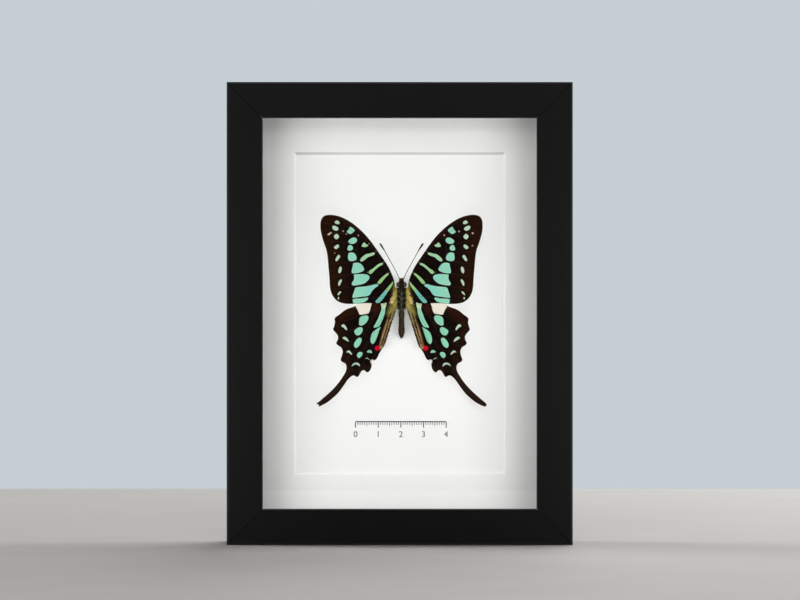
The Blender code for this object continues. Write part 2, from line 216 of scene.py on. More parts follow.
def linear(red, green, blue):
    """A screen colour, 0 to 255, as the linear light that a shader wants."""
    c = np.array([red, green, blue]) / 255
    c = np.where(c <= 0.04045, c / 12.92, ((c + 0.055) / 1.055) ** 2.4)
    return tuple(float(value) for value in c)


# %% [markdown]
# ## Camera, table and light
#
# The frame is seen from straight in front and a little above its middle, from two metres away, so
# its sides hardly show. Two small lamps stand left and right in front of it and a wide soft one hangs
# above: the rails then throw the broad grey shade that lies around the inside of the box. The wings
# throw their soft shadow from a smaller lamp overhead only. Three more light the flanks and the back.

# %% Camera
CAMERA_DISTANCE = 2.0
CAMERA_HEIGHT = 0.1069
FIELD_WIDTH = 0.3489  # width seen at the frame's front face

camera_data = bpy.data.cameras.new("camera")
camera_data.sensor_width = 36.0
camera_data.lens = camera_data.sensor_width * CAMERA_DISTANCE / FIELD_WIDTH
camera_data.clip_end = 20.0
camera = bpy.data.objects.new("camera", camera_data)
camera.location = (0.13 * MM, front_y - CAMERA_DISTANCE, CAMERA_HEIGHT)
camera.rotation_euler = (math.radians(90), 0, 0)
bpy.context.scene.collection.objects.link(camera)
bpy.context.scene.camera = camera
print("lens, mm:", round(camera_data.lens, 1))

# %% Table top
TABLE_HALF_WIDTH = 1.1
TABLE_HALF_DEPTH = 0.58
TABLE_THICKNESS = 0.03

table_finish, tree, shader = new_finish("pale_table", {"Roughness": 0.7})
cloud = speckle(tree, place(tree), 0.02, detail=4.0)
feed(tree, shader, base_color=colour_mix(tree, cloud, (0.60, 0.58, 0.56), (0.68, 0.66, 0.64)))
relief(tree, shader, speckle(tree, place(tree), 0.6, detail=4.0), 0.15, 0.3)

across, along, up = (axis.ravel() for axis in np.meshgrid([-1, 1], [-1, 1], [-1, 0], indexing="ij"))
table_points = np.stack([across * TABLE_HALF_WIDTH, along * TABLE_HALF_DEPTH,
                         up * TABLE_THICKNESS], axis=-1)
table_mesh = bpy.data.meshes.new("table")
table_mesh.from_pydata(table_points.tolist(), [], [(1, 5, 7, 3), (0, 2, 6, 4), (0, 4, 5, 1),
                                                   (2, 3, 7, 6), (0, 1, 3, 2), (4, 6, 7, 5)])
table_mesh.materials.append(table_finish)
table = bpy.data.objects.new("table", table_mesh)
bpy.context.scene.collection.objects.link(table)
print("table, m:", 2 * TABLE_HALF_WIDTH, "x", 2 * TABLE_HALF_DEPTH)

# %% Lamps
def lamp(name, where, size, power):
    """A rectangular soft lamp at `where`, turned to face the frame's middle."""
    data = bpy.data.lights.new(name, "AREA")
    data.shape = "RECTANGLE"
    data.size, data.size_y = size
    data.energy = power
    made = bpy.data.objects.new(name, data)
    made.location = where
    toward = Vector((0.0, 0.0, middle_z)) - made.location
    made.rotation_euler = toward.to_track_quat("-Z", "Y").to_euler()
    made.visible_camera = False
    bpy.context.scene.collection.objects.link(made)
    return made


# sides of the butterfly and of the frame: the left one is the right one mirrored
SIDES = {"left": -1, "right": 1}
side_lamps = [lamp(f"lamp_{key}", (side * 0.173, front_y - 0.182, middle_z - 0.034), (0.175, 0.212), 0.465)
              for key, side in SIDES.items()]
wide_lamp = lamp("lamp_wide", (0.0, front_y - 1.739, middle_z + 0.426), (2.5, 0.37), 8.8)
lamp("lamp_top", (0.0, front_y - 1.1, middle_z + 0.7), (0.45, 0.35), 2.2)
lamp("lamp_back", (0.5, back_y + 1.1, middle_z + 0.8), (1.2, 1.2), 12.0)
for key, side in SIDES.items():
    lamp(f"lamp_flank_{key}", (side * 1.4, 0.42, middle_z + 0.32), (0.6, 0.6), 14.0)
print("lamps:", len(bpy.data.lights))


def left_out(name, pieces):
    """A light-linking collection that leaves these pieces out."""
    kept = bpy.data.collections.new(name)
    for piece in pieces:
        kept.objects.link(piece)
    for member in kept.collection_objects:
        member.light_linking.link_state = "EXCLUDE"
    return kept


def let_past(lamps, pieces):
    """These pieces throw no shadow from these lamps; other lamps give them the one they have."""
    passed = left_out("let_past", pieces)
    for made in lamps:
        made.light_linking.blocker_collection = passed


def kept_off(lamps, pieces):
    """These pieces take nothing from these lamps, as if boards kept the glare off them."""
    clear = left_out("kept_off", pieces)
    for made in lamps:
        made.light_linking.receiver_collection = clear


# %% Air around the set
AIR_SEEN = (0.56, 0.62, 0.65)
AIR_LIGHT = 0.02  # what reaches the surfaces: dim, so the glass stays clear over the black wings

world = bpy.data.worlds.new("air")
bpy.context.scene.world = world
world.use_nodes = True
tree = world.node_tree
tree.nodes.clear()
dim = put(tree, "Background", {"Color": (*AIR_SEEN, 1.0), "Strength": AIR_LIGHT})
seen = put(tree, "Background", {"Color": (*AIR_SEEN, 1.0), "Strength": 1.0})
is_camera = put(tree, "LightPath").outputs["Is Camera Ray"]
air = put(tree, "MixShader", {0: is_camera, 1: dim.outputs[0], 2: seen.outputs[0]})
put(tree, "OutputWorld", {"Surface": air.outputs[0]})
bpy.context.scene.view_settings.view_transform = "Standard"
print("air: dimmed to", AIR_LIGHT)

# %% [markdown]
# ## The four rails
#
# On the bench each rail is a length of moulding, cut at 45 degrees and glued. Its section is carried
# along the rail, and every point stops at its own mitre. Lacquer rounds the edges and leaves the
# mitre as a hairline, so each end is rolled over a tenth of a millimetre.

# %% Black lacquer over wood
def black_lacquer():
    """Satin near-black: the wood's lengthwise grain just shows as uneven gloss and faint ridges."""
    finish, tree, shader = new_finish("black_lacquer", {"Specular IOR Level": 0.08})
    along = stored(tree, "along", "Vector")
    grain = speckle(tree, put(tree, "Mapping", {"Vector": along, "Scale": (0.03, 2.2, 2.2)}).outputs[0],
                    1.0, detail=5.0, rough=0.6)
    peel = speckle(tree, place(tree), 1.3, detail=2.0)
    worn = spread(tree, stored(tree, "edge"), 0.4, 1.0)
    patch = speckle(tree, place(tree), 0.05, detail=3.0)
    ground = colour_mix(tree, patch, (0.0016, 0.0016, 0.0017), (0.0026, 0.0025, 0.0024))
    ground = colour_mix(tree, maths(tree, "MULTIPLY", worn, 0.5), ground, (0.020, 0.019, 0.018))
    feed(tree, shader, base_color=ground)
    feed(tree, shader, roughness=spread(tree, grain, 0.3, 0.7, 0.30, 0.35))
    height = maths(tree, "ADD", maths(tree, "MULTIPLY", grain, 0.5), peel)
    relief(tree, shader, height, 0.12, 0.05)
    return finish


# %% Helper: a section with rounded corners
CURVE_STEPS = 5
WEAR_MARGIN = 0.5 * MM


def rounded_outline(corners, radii):
    """Points of a closed outline of square corners, each rounded, and 1 on the curves, 0 between.

    Formula: with unit vectors p and n towards the corner before and after, the curve is
    corner + r (p + n) - r (n cos t + p sin t), t from 0 to 90 degrees, with one more point on the
    straight at either side so that wear fades a little way from the edge.
    """
    corners = np.asarray(corners, dtype=float)
    before = np.roll(corners, 1, axis=0) - corners
    after = np.roll(corners, -1, axis=0) - corners
    p = (before / np.linalg.norm(before, axis=1, keepdims=True))[:, None]
    n = (after / np.linalg.norm(after, axis=1, keepdims=True))[:, None]
    r = np.asarray(radii, dtype=float)[:, None, None]
    t = np.linspace(0, math.pi / 2, CURVE_STEPS)[None, :, None]
    c = corners[:, None]
    curve = c + r * (p + n) - r * (n * np.cos(t) + p * np.sin(t))
    rows = np.concatenate([c + (r + WEAR_MARGIN) * p, curve, c + (r + WEAR_MARGIN) * n], axis=1)
    wear = np.ones(rows.shape[:2])
    wear[:, [0, -1]] = 0.0
    return rows.reshape(-1, 2), wear.ravel()


def outline_normals(outline):
    """Unit vectors across a closed outline, turned a quarter from the way it runs."""
    run = np.roll(outline, -1, axis=0) - np.roll(outline, 1, axis=0)
    across = np.stack([run[:, 1], -run[:, 0]], axis=-1)
    return across / np.linalg.norm(across, axis=1, keepdims=True)


# %% The rail
WALL = 10.0 * MM
FACE_WIDTH = 15.7 * MM
LIP_THICKNESS = 4.0 * MM
EDGE_RADIUS = 0.6 * MM
INNER_EDGE_RADIUS = 0.35 * MM
FINE_RADIUS = 0.15 * MM
MITRE_GAP = 0.03 * MM
MITRE_ROLL = 0.12 * MM
STATIONS = 41


def rail(length, to_frame):
    """Points and faces of one rail, and what its lacquer reads.

    Formula: point(s, k) = (s * reach(k), section(k)), where s runs from -1 to 1 along the rail and
    reach(k) is half the length less the inward distance of section point k and the mitre's gap. At
    each end one more ring, drawn in across the section, rolls the edge over.
    """
    lip_back = front_y + LIP_THICKNESS
    corners = [(0, back_y), (0, front_y), (FACE_WIDTH, front_y), (FACE_WIDTH, lip_back),
               (WALL, lip_back), (WALL, back_y)]
    radii = [EDGE_RADIUS, EDGE_RADIUS, INNER_EDGE_RADIUS, FINE_RADIUS, FINE_RADIUS, EDGE_RADIUS]
    section, wear = rounded_outline(corners, radii)
    drawn_in = section - MITRE_ROLL * outline_normals(section)
    reach = length / 2 - section[:, 0] - MITRE_GAP
    share = np.linspace(-1, 1, STATIONS)[:, None]
    along = np.concatenate([-reach[None], share * (reach - MITRE_ROLL), reach[None]])
    shape = np.repeat(section[None], len(along), axis=0)
    shape[[0, -1]] = drawn_in
    x, z = to_frame(along, shape[..., 0])
    points = np.stack([x, shape[..., 1], z], axis=-1).reshape(-1, 3)
    rows, columns = along.shape
    faces = grid_faces(rows, columns, close_columns=True).tolist()
    faces += [list(range(columns))[::-1], list(range((rows - 1) * columns, rows * columns))]
    followed = np.stack([along, shape[..., 0], shape[..., 1]], axis=-1).reshape(-1, 3) / MM
    values = {"along": followed, "edge": np.broadcast_to(wear, along.shape).ravel()}
    return points, faces, values


# %% Four rails round the box
width, height = high[0] - low[0], high[2] - low[2]
rail_turns = {
    "rail_bottom": (width, lambda s, t: (s, low[2] + t)),
    "rail_top": (width, lambda s, t: (-s, high[2] - t)),
    "rail_left": (height, lambda s, t: (low[0] + t, middle_z - s)),
    "rail_right": (height, lambda s, t: (high[0] - t, middle_z + s)),
}
lacquer = black_lacquer()
for name, (length, turn) in rail_turns.items():
    points, faces, values = rail(length, turn)
    add_piece(f"{name}_lacquered", points, faces, lacquer, [name], values, sharp=40)


# %% [markdown]
# ## The pane
#
# The pane is plain picture glass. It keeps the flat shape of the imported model; only its cut edges
# are green, because there one looks along the glass and not through it. Lamp light has to reach the
# card behind it, so shadow rays pass straight through.

# %% Picture glass
def picture_glass():
    """Clear glass with the faintest smears; light bound for the mat and card goes straight through."""
    sockets = {"Transmission Weight": 1.0, "IOR": 1.45, "Specular IOR Level": 0.4}
    finish, tree, shader = new_finish("picture_glass", sockets)
    smear = speckle(tree, place(tree, (1, 1, 0.4)), 0.05, detail=3.0)
    feed(tree, shader, roughness=spread(tree, smear, 0.45, 0.75, 0.0, 0.02))
    feed(tree, shader, base_color=colour_mix(tree, smear, (0.99, 0.99, 0.985), (0.98, 0.98, 0.975)))
    clear = put(tree, "BsdfTransparent", {"Color": (0.985, 0.985, 0.98, 1.0)})
    path = put(tree, "LightPath").outputs
    lighting = maths(tree, "MAXIMUM", path["Is Shadow Ray"], path["Is Diffuse Ray"])
    both = put(tree, "MixShader", {0: lighting, 1: shader.outputs[0], 2: clear.outputs[0]})
    tree.links.new(both.outputs[0], tree.nodes["Material Output"].inputs["Surface"])
    return finish


def dress(node, finish):
    """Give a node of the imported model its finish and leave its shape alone."""
    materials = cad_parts[node].data.materials
    materials.clear()
    materials.append(finish)
    print(f"{node}: dressed in {finish.name}")


dress("glass", picture_glass())
kept_off(side_lamps, [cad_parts["glass"], table])

# %% [markdown]
# ## Spacers, mat and card
#
# Behind the glass four foam-board strips stand on edge and hold the mat back. The mat is cut with a
# slanting blade, so its window shows a narrow slope of white core. Its outline is one closed section
# (outwards, y) carried round the window's four corners.

# %% Foam strips
def foam():
    """Cut foam board: fine closed cells and a few long knife marks."""
    finish, tree, shader = new_finish("foam", {"Roughness": 0.85, "Specular IOR Level": 0.3})
    cells = put(tree, "TexVoronoi", {"Vector": place(tree), "Scale": 4.0}).outputs["Distance"]
    drag = speckle(tree, place(tree, (0.05, 2.0, 0.05)), 1.0, detail=3.0)
    feed(tree, shader, base_color=colour_mix(tree, drag, (0.02, 0.02, 0.02), (0.03, 0.03, 0.03)))
    relief(tree, shader, maths(tree, "ADD", cells, drag), 0.4, 0.08)
    return finish


foam_finish = foam()
for side in ("bottom", "top", "left", "right"):
    dress(f"spacer_{side}", foam_finish)


# %% Mat board and card
def paper(name, light, shade, tooth, rough):
    """Pressed paper: cloudy whiteness, a fine tooth and stray fibres."""
    finish, tree, shader = new_finish(name, {"Roughness": rough, "Specular IOR Level": 0.25})
    cloud = speckle(tree, place(tree), 0.12, detail=4.0)
    fibre = speckle(tree, place(tree, (1.0, 1.0, 0.25)), 6.0, detail=4.0, rough=0.7)
    tone = maths(tree, "ADD", maths(tree, "MULTIPLY", cloud, 0.6),
                  maths(tree, "MULTIPLY", fibre, 0.4))
    feed(tree, shader, base_color=colour_mix(tree, tone, shade, light))
    relief(tree, shader, fibre, tooth, 0.05)
    return finish


def with_bare_cut(finish, core, painted_shade):
    """Bares the board's core where `cut` is 1: pale, and greyer as painted shade on the slope facing the
    ground.
    """
    tree = finish.node_tree
    shader = next(node for node in tree.nodes if node.type == "BSDF_PRINCIPLED")
    face = shader.inputs["Base Color"].links[0].from_socket
    normal = put(tree, "NewGeometry").outputs["Normal"]
    upward = put(tree, "SeparateXYZ", {"Vector": normal}).outputs["Z"]
    # painted shade: the slope that faces the ground takes the greyer colour, standing in for its shadow
    bare = colour_mix(tree, spread(tree, upward, -0.6, -0.2), painted_shade, core)
    feed(tree, shader, base_color=colour_mix(tree, stored(tree, "cut"), face, bare))


mat_paper = paper("mat_paper", (0.925, 0.923, 0.916), (0.895, 0.894, 0.888), 0.3, 0.92)
# the second, greyer colour is painted shade for the mat's downward-facing top slope
with_bare_cut(mat_paper, (0.99, 0.985, 0.975), (0.62, 0.62, 0.61))
dress("card", paper("card_paper", (0.925, 0.927, 0.925), (0.900, 0.903, 0.903), 0.08, 0.8))


# %% The mat
def mat_sheet(window_width, window_height, bevel):
    """The mat as a section carried round its window.

    Formula: point(c, k) = corner c of the window pushed out by the section's outward distance,
    with the section's own y. The section runs down the slope, out along the back and home along
    the face, with a tiny round on the cut's front edge.
    """
    mat_low, mat_high = (np.array(corner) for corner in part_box("mat"))
    reach = (mat_high[0] - mat_low[0]) / 2 - window_width / 2
    nick = 0.08 * MM
    section = np.array([
        (0.0, mat_high[1]), (bevel - nick, mat_low[1] + nick),
        (bevel - 0.3 * nick, mat_low[1] + 0.3 * nick), (bevel + nick, mat_low[1]),
        (bevel + 1.0 * MM, mat_low[1]), (reach, mat_low[1]),
        (reach, mat_high[1]), (1.0 * MM, mat_high[1]),
    ])
    sides = np.array([(-1, -1), (1, -1), (1, 1), (-1, 1)])
    half = np.array([window_width, window_height]) / 2
    tall = np.array([1.0, ((mat_high[2] - mat_low[2]) / 2 - half[1]) / reach])
    out = sides[:, None] * (half + section[None, :, :1])
    far = section[:, 0] >= reach
    out[:, far] = (sides * (half + reach * tall))[:, None]
    points = np.stack([out[..., 0], np.broadcast_to(section[:, 1], out.shape[:2]),
                       middle_z + out[..., 1]], axis=-1).reshape(-1, 3)
    return points, grid_faces(4, len(section), close_rows=True, close_columns=True, turned=True)


WINDOW_WIDTH, WINDOW_HEIGHT = 91 * MM, 140 * MM
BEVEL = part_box("mat")[1].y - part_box("mat")[0].y  # a cut at 45 degrees: as wide as the board is thick

points, faces = mat_sheet(WINDOW_WIDTH, WINDOW_HEIGHT, BEVEL)
on_slope = np.tile([1, 1, 1, 0, 0, 0, 0, 0], 4)
add_piece("mat_with_window", points, faces, mat_paper, ["mat"], {"cut": on_slope}, sharp=20)

# %% [markdown]
# ## The butterfly's own frame
#
# Points on the butterfly are (out, height, along) in millimetres: out from the midline, up from the
# card, and along the body towards the head. Left and right share one set of numbers, mirrored.

# %% Helpers: the butterfly's frame and smooth curves
def on_card(out, height, along, side=1):
    """From the butterfly's (out, height, along) in millimetres to the frame, in metres."""
    out, height, along = np.broadcast_arrays(out, height, along)
    return origin + MM * np.stack([side * out, -height, along], axis=-1)


def smooth_curve(points, steps, closed=True):
    """A Catmull-Rom curve through the points.

    Formula: between p1 and p2, with neighbours p0 and p3, the point at t is half of
    2 p1 + (p2 - p0) t + (2 p0 - 5 p1 + 4 p2 - p3) t² + (3 p1 - p0 - 3 p2 + p3) t³.
    """
    p = np.asarray(points, dtype=float)
    if closed:
        p0, p1, p2, p3 = (np.roll(p, shift, axis=0) for shift in (1, 0, -1, -2))
    else:
        held = np.concatenate([p[:1], p, p[-1:]])
        p0, p1, p2, p3 = held[:-3], held[1:-2], held[2:-1], held[3:]
    t = (np.arange(steps) / steps)[None, :, None]
    p0, p1, p2, p3 = (q[:, None] for q in (p0, p1, p2, p3))
    curve = 0.5 * (2 * p1 + (p2 - p0) * t + (2 * p0 - 5 * p1 + 4 * p2 - p3) * t ** 2
                   + (3 * p1 - p0 - 3 * p2 + p3) * t ** 3)
    curve = curve.reshape(-1, p.shape[1])
    return curve if closed else np.concatenate([curve, p[-1:]])


def smoothstep(value, low, high):
    """0 below low, 1 above high, and 3t² - 2t³ between them."""
    t = np.clip((value - low) / (high - low), 0, 1)
    return t * t * (3 - 2 * t)


# %% Helpers: distances on a wing
def line_distance(points, line, closed=False):
    """Shortest distance from each point to a line of straight stretches.

    Formula: on each stretch a to b the nearest place is a + t (b - a), with t the share of the
    stretch that the point falls on, held between 0 and 1; the least of those distances counts.
    """
    a = line if closed else line[:-1]
    run = (np.roll(line, -1, axis=0) if closed else line[1:]) - a
    gap = points[:, None] - a
    t = np.clip((gap * run).sum(-1) / np.maximum((run * run).sum(-1), 1e-12), 0, 1)
    return np.linalg.norm(gap - t[..., None] * run, axis=-1).min(axis=1)


def inside_distance(points, loop):
    """Distance to a closed loop, positive inside, where a ray from the point crosses it oddly often."""
    after = np.roll(loop, -1, axis=0)
    x, z = points[:, :1], points[:, 1:]
    straddles = (loop[:, 1] > z) != (after[:, 1] > z)
    rise = np.where(after[:, 1] == loop[:, 1], 1.0, after[:, 1] - loop[:, 1])
    crossing = loop[:, 0] + (z - loop[:, 1]) / rise * (after[:, 0] - loop[:, 0])
    inside = (straddles & (x < crossing)).sum(axis=1) % 2 == 1
    gap = line_distance(points, loop, closed=True)
    return np.where(inside, gap, -gap)


# %% [markdown]
# ## Wing outlines, veins and marks
#
# A wing is one membrane with a stiff net of veins. Its outline is a smooth curve through listed
# points, and so is each pale mark between the veins. The marks aren't cut into the mesh: every point
# of the wing stores its distance to the nearest mark's edge, and the scales change colour where that
# distance passes zero, so the edge stays crisp however close one looks.

# %% Wing outlines, as (out, along) in millimetres, from the root round the tip
FOREWING_OUTLINE = [
    (2.9, 6.6), (3.7, 10.0), (6.0, 15.0), (9.4, 20.0), (12.6, 24.6), (15.8, 28.6), (19.8, 32.4),
    (23.0, 34.7), (25.6, 36.1), (28.4, 37.1), (31.4, 37.5), (33.8, 37.1), (35.2, 35.7),
    (35.7, 33.2), (35.4, 29.6), (34.3, 25.6), (33.0, 21.8), (32.5, 18.6), (32.1, 14.0),
    (31.7, 9.4), (31.5, 5.6), (30.7, 2.6), (29.2, 0.4), (27.2, -1.0), (24.4, -1.65),
    (20.5, -1.7), (16.0, -1.35), (11.0, -1.5), (7.2, -1.4), (5.2, 0.4), (3.8, 2.8), (2.8, 4.8),
]
HINDWING_OUTER = [
    (2.6, 1.6), (6.0, 3.0), (12.0, 2.6), (18.0, -0.8), (20.8, -2.8), (24.5, -4.2), (27.3, -6.3),
    (29.4, -8.0), (29.3, -9.8), (29.7, -11.6), (30.1, -13.0), (29.2, -14.2), (28.1, -15.6),
    (28.0, -17.2), (28.7, -18.9), (28.2, -19.8), (26.6, -20.9), (25.9, -22.6), (26.2, -24.4),
    (26.8, -26.3), (26.2, -27.2), (24.8, -28.0), (24.2, -29.6), (24.6, -31.6), (25.8, -33.6),
    (27.3, -35.9), (29.4, -38.4), (31.8, -40.8), (34.3, -43.0),
]
HINDWING_INNER = [
    (35.2, -46.4), (33.0, -45.3), (30.4, -43.3), (27.9, -40.9), (25.7, -38.0),
    (24.0, -35.5), (22.6, -34.0), (21.4, -33.3), (20.5, -33.4), (19.7, -33.9), (18.9, -33.5),
    (18.3, -32.4), (17.6, -31.3), (16.8, -30.9), (16.0, -31.2), (15.4, -31.8), (14.6, -31.7),
    (13.8, -30.9), (13.2, -29.4), (13.1, -27.9), (12.6, -26.7), (11.6, -26.4), (10.8, -25.6),
    (9.8, -23.5), (8.6, -21.6), (7.3, -19.3), (6.4, -16.6), (5.5, -13.6), (4.6, -10.6),
    (3.7, -7.5), (2.9, -4.8), (2.6, -2.0),
]
TAIL_TIP = {
    "left": [(36.2, -44.7), (37.4, -45.4), (37.2, -46.0), (36.4, -45.9), (36.6, -46.6), (36.0, -46.9)],
    "right": [(36.4, -44.8), (37.5, -46.0), (36.8, -46.9)],
}

# %% Veins, from the root outwards
FOREWING_VEINS = [
    [(3.0, 3.6), (6.8, 4.4), (10.4, 7.0), (14.5, 11.6), (18.8, 17.5), (19.6, 21.5), (19.4, 24.5),
     (18.5, 27.0)],
    [(3.3, 6.2), (4.6, 9.4), (8.0, 15.6), (11.8, 21.6), (15.8, 26.9), (20.0, 31.4), (26.0, 35.0)],
    [(17.6, 27.2), (25.0, 32.4), (30.0, 33.1), (35.2, 34.0)],
    [(18.6, 27.0), (22.0, 28.6), (30.0, 29.8), (35.5, 31.0)],
    [(19.3, 25.3), (22.3, 24.6), (29.5, 25.8), (34.2, 25.5)],
    [(19.6, 22.5), (22.0, 21.2), (29.0, 21.2), (33.0, 21.5)],
    [(18.9, 17.6), (21.0, 16.9), (28.5, 16.0), (32.3, 16.0)],
    [(14.5, 11.6), (20.0, 11.8), (28.0, 10.4), (31.8, 10.0)],
    [(10.4, 7.0), (19.0, 6.1), (28.0, 5.0), (31.4, 4.6)],
    [(3.2, 3.0), (8.0, 1.6), (18.0, 0.9), (24.0, -0.2), (28.4, -0.6)],
]
HINDWING_VEINS = [
    [(3.0, -1.0), (9.0, -2.5), (15.0, -5.8), (19.0, -7.2), (24.5, -9.3), (29.6, -11.7)],
    [(9.0, -2.5), (15.0, -11.0), (19.0, -11.6), (24.5, -14.5), (28.9, -14.8)],
    [(12.0, -6.6), (17.0, -16.0), (19.8, -16.0), (24.0, -20.0), (28.0, -19.9)],
    [(3.4, -2.0), (9.3, -9.0), (13.0, -16.0), (17.5, -21.8), (20.5, -22.5), (23.5, -26.0), (26.4, -27.0)],
    [(14.5, -19.0), (19.0, -26.5), (23.5, -32.0), (26.0, -36.0), (30.0, -41.0), (36.3, -46.0)],
    [(9.1, -11.8), (12.5, -20.0), (16.5, -27.0), (19.6, -33.6)],
    [(9.8, -21.0), (13.0, -26.0), (15.0, -31.5)],
    [(3.2, -2.6), (5.5, -8.0), (8.2, -16.0), (10.5, -22.5), (12.5, -26.5)],
]

# %% Marks: a tint and the few points that each outline needs
TINTS = {
    "mint": linear(180, 207, 184), "turquoise": linear(142, 208, 184), "sea": linear(136, 205, 176),
    "green": linear(158, 202, 158), "leaf": linear(140, 192, 116), "teal": linear(96, 180, 170),
    "cream": linear(232, 224, 212), "pale_green": linear(190, 214, 172), "red": linear(192, 6, 38),
    "rose": linear(206, 164, 132), "lagoon": linear(124, 202, 194),
}
FOREWING_MARKS = {
    "rim_1": ("mint", [(29.5, 34.0), (28.8, 35.0), (28.0, 35.0), (27.2, 34.2), (27.3, 33.5), (28.2, 33.3)]),
    "rim_2": ("mint", [(30.6, 32.2), (29.8, 32.8), (28.6, 32.4), (27.7, 31.6), (27.9, 30.8), (28.8, 30.4),
        (30.0, 30.9)]),
    "rim_3": ("mint", [(29.85, 27.9), (28.6, 29.2), (27.35, 27.9), (28.6, 26.6)]),
    "rim_4": ("mint", [(29.8, 23.2), (29.0, 24.0), (28.2, 24.5), (27.5, 24.2), (27.5, 23.4), (28.2, 22.6),
        (29.0, 22.3)]),
    "rim_5": ("mint", [(29.2, 17.6), (28.6, 19.0), (27.9, 19.9), (27.2, 19.7), (26.9, 19.0), (27.6, 18.0),
        (28.3, 17.1), (28.9, 17.1)]),
    "rim_6": ("mint", [(27.9, 12.6), (27.6, 14.0), (26.9, 14.8), (26.3, 14.3), (26.3, 13.1), (26.8, 12.0),
        (27.5, 11.7)]),
    "rim_7": ("mint", [(27.9, 6.6), (27.8, 7.8), (27.1, 8.9), (26.4, 9.2), (26.2, 8.5), (26.8, 7.1),
        (27.4, 6.1)]),
    "rim_8_upper": ("mint", [(28.2, 2.4), (27.7, 3.4), (26.9, 3.9), (26.5, 3.5), (27.2, 2.6), (27.9, 2.0)]),
    "rim_8_lower": ("mint", [(28.1, 1.2), (27.6, 1.4), (27.4, 0.6), (27.8, 0.1), (28.1, 0.5)]),
    "band_1": ("turquoise", [(22.5, 32.3), (20.5, 30.8), (21.4, 29.6), (22.4, 29.0), (23.6, 29.4),
        (24.1, 30.1), (23.2, 31.3)]),
    "band_2": ("turquoise", [(21.1, 27.6), (19.9, 27.2), (19.5, 26.3), (20.0, 25.3), (21.3, 24.6),
        (22.7, 24.8), (23.5, 25.8), (22.6, 26.9)]),
    "band_3": ("turquoise", [(23.3, 24.1), (22.2, 24.2), (21.4, 23.3), (21.4, 22.4), (22.2, 21.7),
        (23.5, 21.8), (23.9, 22.5)]),
    "band_4": ("turquoise", [(23.3, 20.6), (22.1, 21.0), (20.8, 20.7), (20.1, 19.8), (19.7, 18.6),
        (20.0, 17.6), (21.2, 17.1), (22.7, 17.1), (23.5, 17.8), (23.6, 19.2)]),
    "band_5": ("turquoise", [(21.3, 16.1), (20.0, 16.5), (18.5, 16.3), (17.2, 15.3), (16.4, 13.8),
        (16.6, 13.0), (17.5, 12.4), (19.2, 11.8), (21.2, 11.6), (22.0, 12.1), (21.9, 13.4), (21.5, 15.0)]),
    "band_6": ("turquoise", [(20.9, 11.2), (17.8, 11.5), (15.3, 11.3), (14.2, 10.5), (14.1, 9.5),
        (14.9, 8.4), (16.3, 7.3), (18.2, 6.7), (20.8, 6.3), (21.8, 6.6), (21.9, 7.5), (21.1, 8.8),
        (20.9, 10.3)]),
    "band_7": ("turquoise", [(20.4, 5.3), (19.3, 5.8), (16.6, 6.0), (13.5, 6.5), (11.2, 7.1), (10.2, 6.7),
        (10.4, 6.1), (11.7, 5.2), (12.9, 3.9), (13.8, 2.5), (15.0, 1.7), (17.2, 1.4), (20.2, 1.0),
        (21.6, 1.0), (21.5, 2.1), (20.9, 3.9)]),
    "band_8": ("turquoise", [(21.3, 0.5), (17.8, 0.75), (15.1, 1.2), (14.6, 0.65), (15.3, -0.3),
        (16.5, -1.0), (18.5, -1.45), (20.4, -1.65), (21.2, -1.4)]),
    "cell_heart": ("green", [(17.6, 23.7), (17.0, 25.0), (16.2, 25.4), (15.7, 24.7), (14.7, 24.3),
        (14.9, 23.6), (15.9, 23.25), (17.2, 23.35)]),
    "streak_1": ("green", [(18.3, 17.6), (17.8, 18.5), (16.7, 19.5), (15.7, 20.2), (14.2, 20.5),
        (12.4, 21.0), (11.7, 20.8), (11.9, 20.0), (13.2, 19.3), (14.7, 18.8), (15.9, 17.8), (16.9, 17.1),
        (17.8, 16.9)]),
    "streak_2": ("green", [(14.5, 12.3), (14.1, 13.0), (12.5, 14.0), (10.7, 15.5), (9.2, 16.3), (8.3, 16.3),
        (8.2, 15.6), (9.7, 14.8), (11.5, 13.3), (12.7, 12.0), (13.5, 11.4), (14.3, 11.6)]),
    "streak_3": ("green", [(10.6, 7.8), (10.1, 8.5), (8.7, 10.0), (7.2, 11.2), (6.0, 12.0), (5.6, 11.3),
        (6.9, 10.0), (8.0, 8.6), (9.2, 7.2), (9.9, 7.0), (10.5, 7.2)]),
    "streak_4": ("green", [(3.75, 8.4), (4.5, 7.5), (5.9, 5.9), (7.4, 4.15), (8.9, 2.4), (10.4, 0.75),
        (11.4, -0.4), (11.4, -1.1), (10.8, -1.35), (9.7, -1.2), (8.6, -0.1), (7.3, 1.6), (6.1, 3.4),
        (4.9, 5.0), (4.1, 6.3), (3.6, 7.5)]),
}
FOREWING_MARKS.update({
    f"tip_{number}": ("rose", [(x + 0.3, z), (x, z + 0.28), (x - 0.3, z), (x, z - 0.28)])
    for number, (x, z) in enumerate([(11.2, 21.5), (7.75, 16.7), (5.1, 12.2), (10.9, 6.9), (14.9, 12.2)])
})
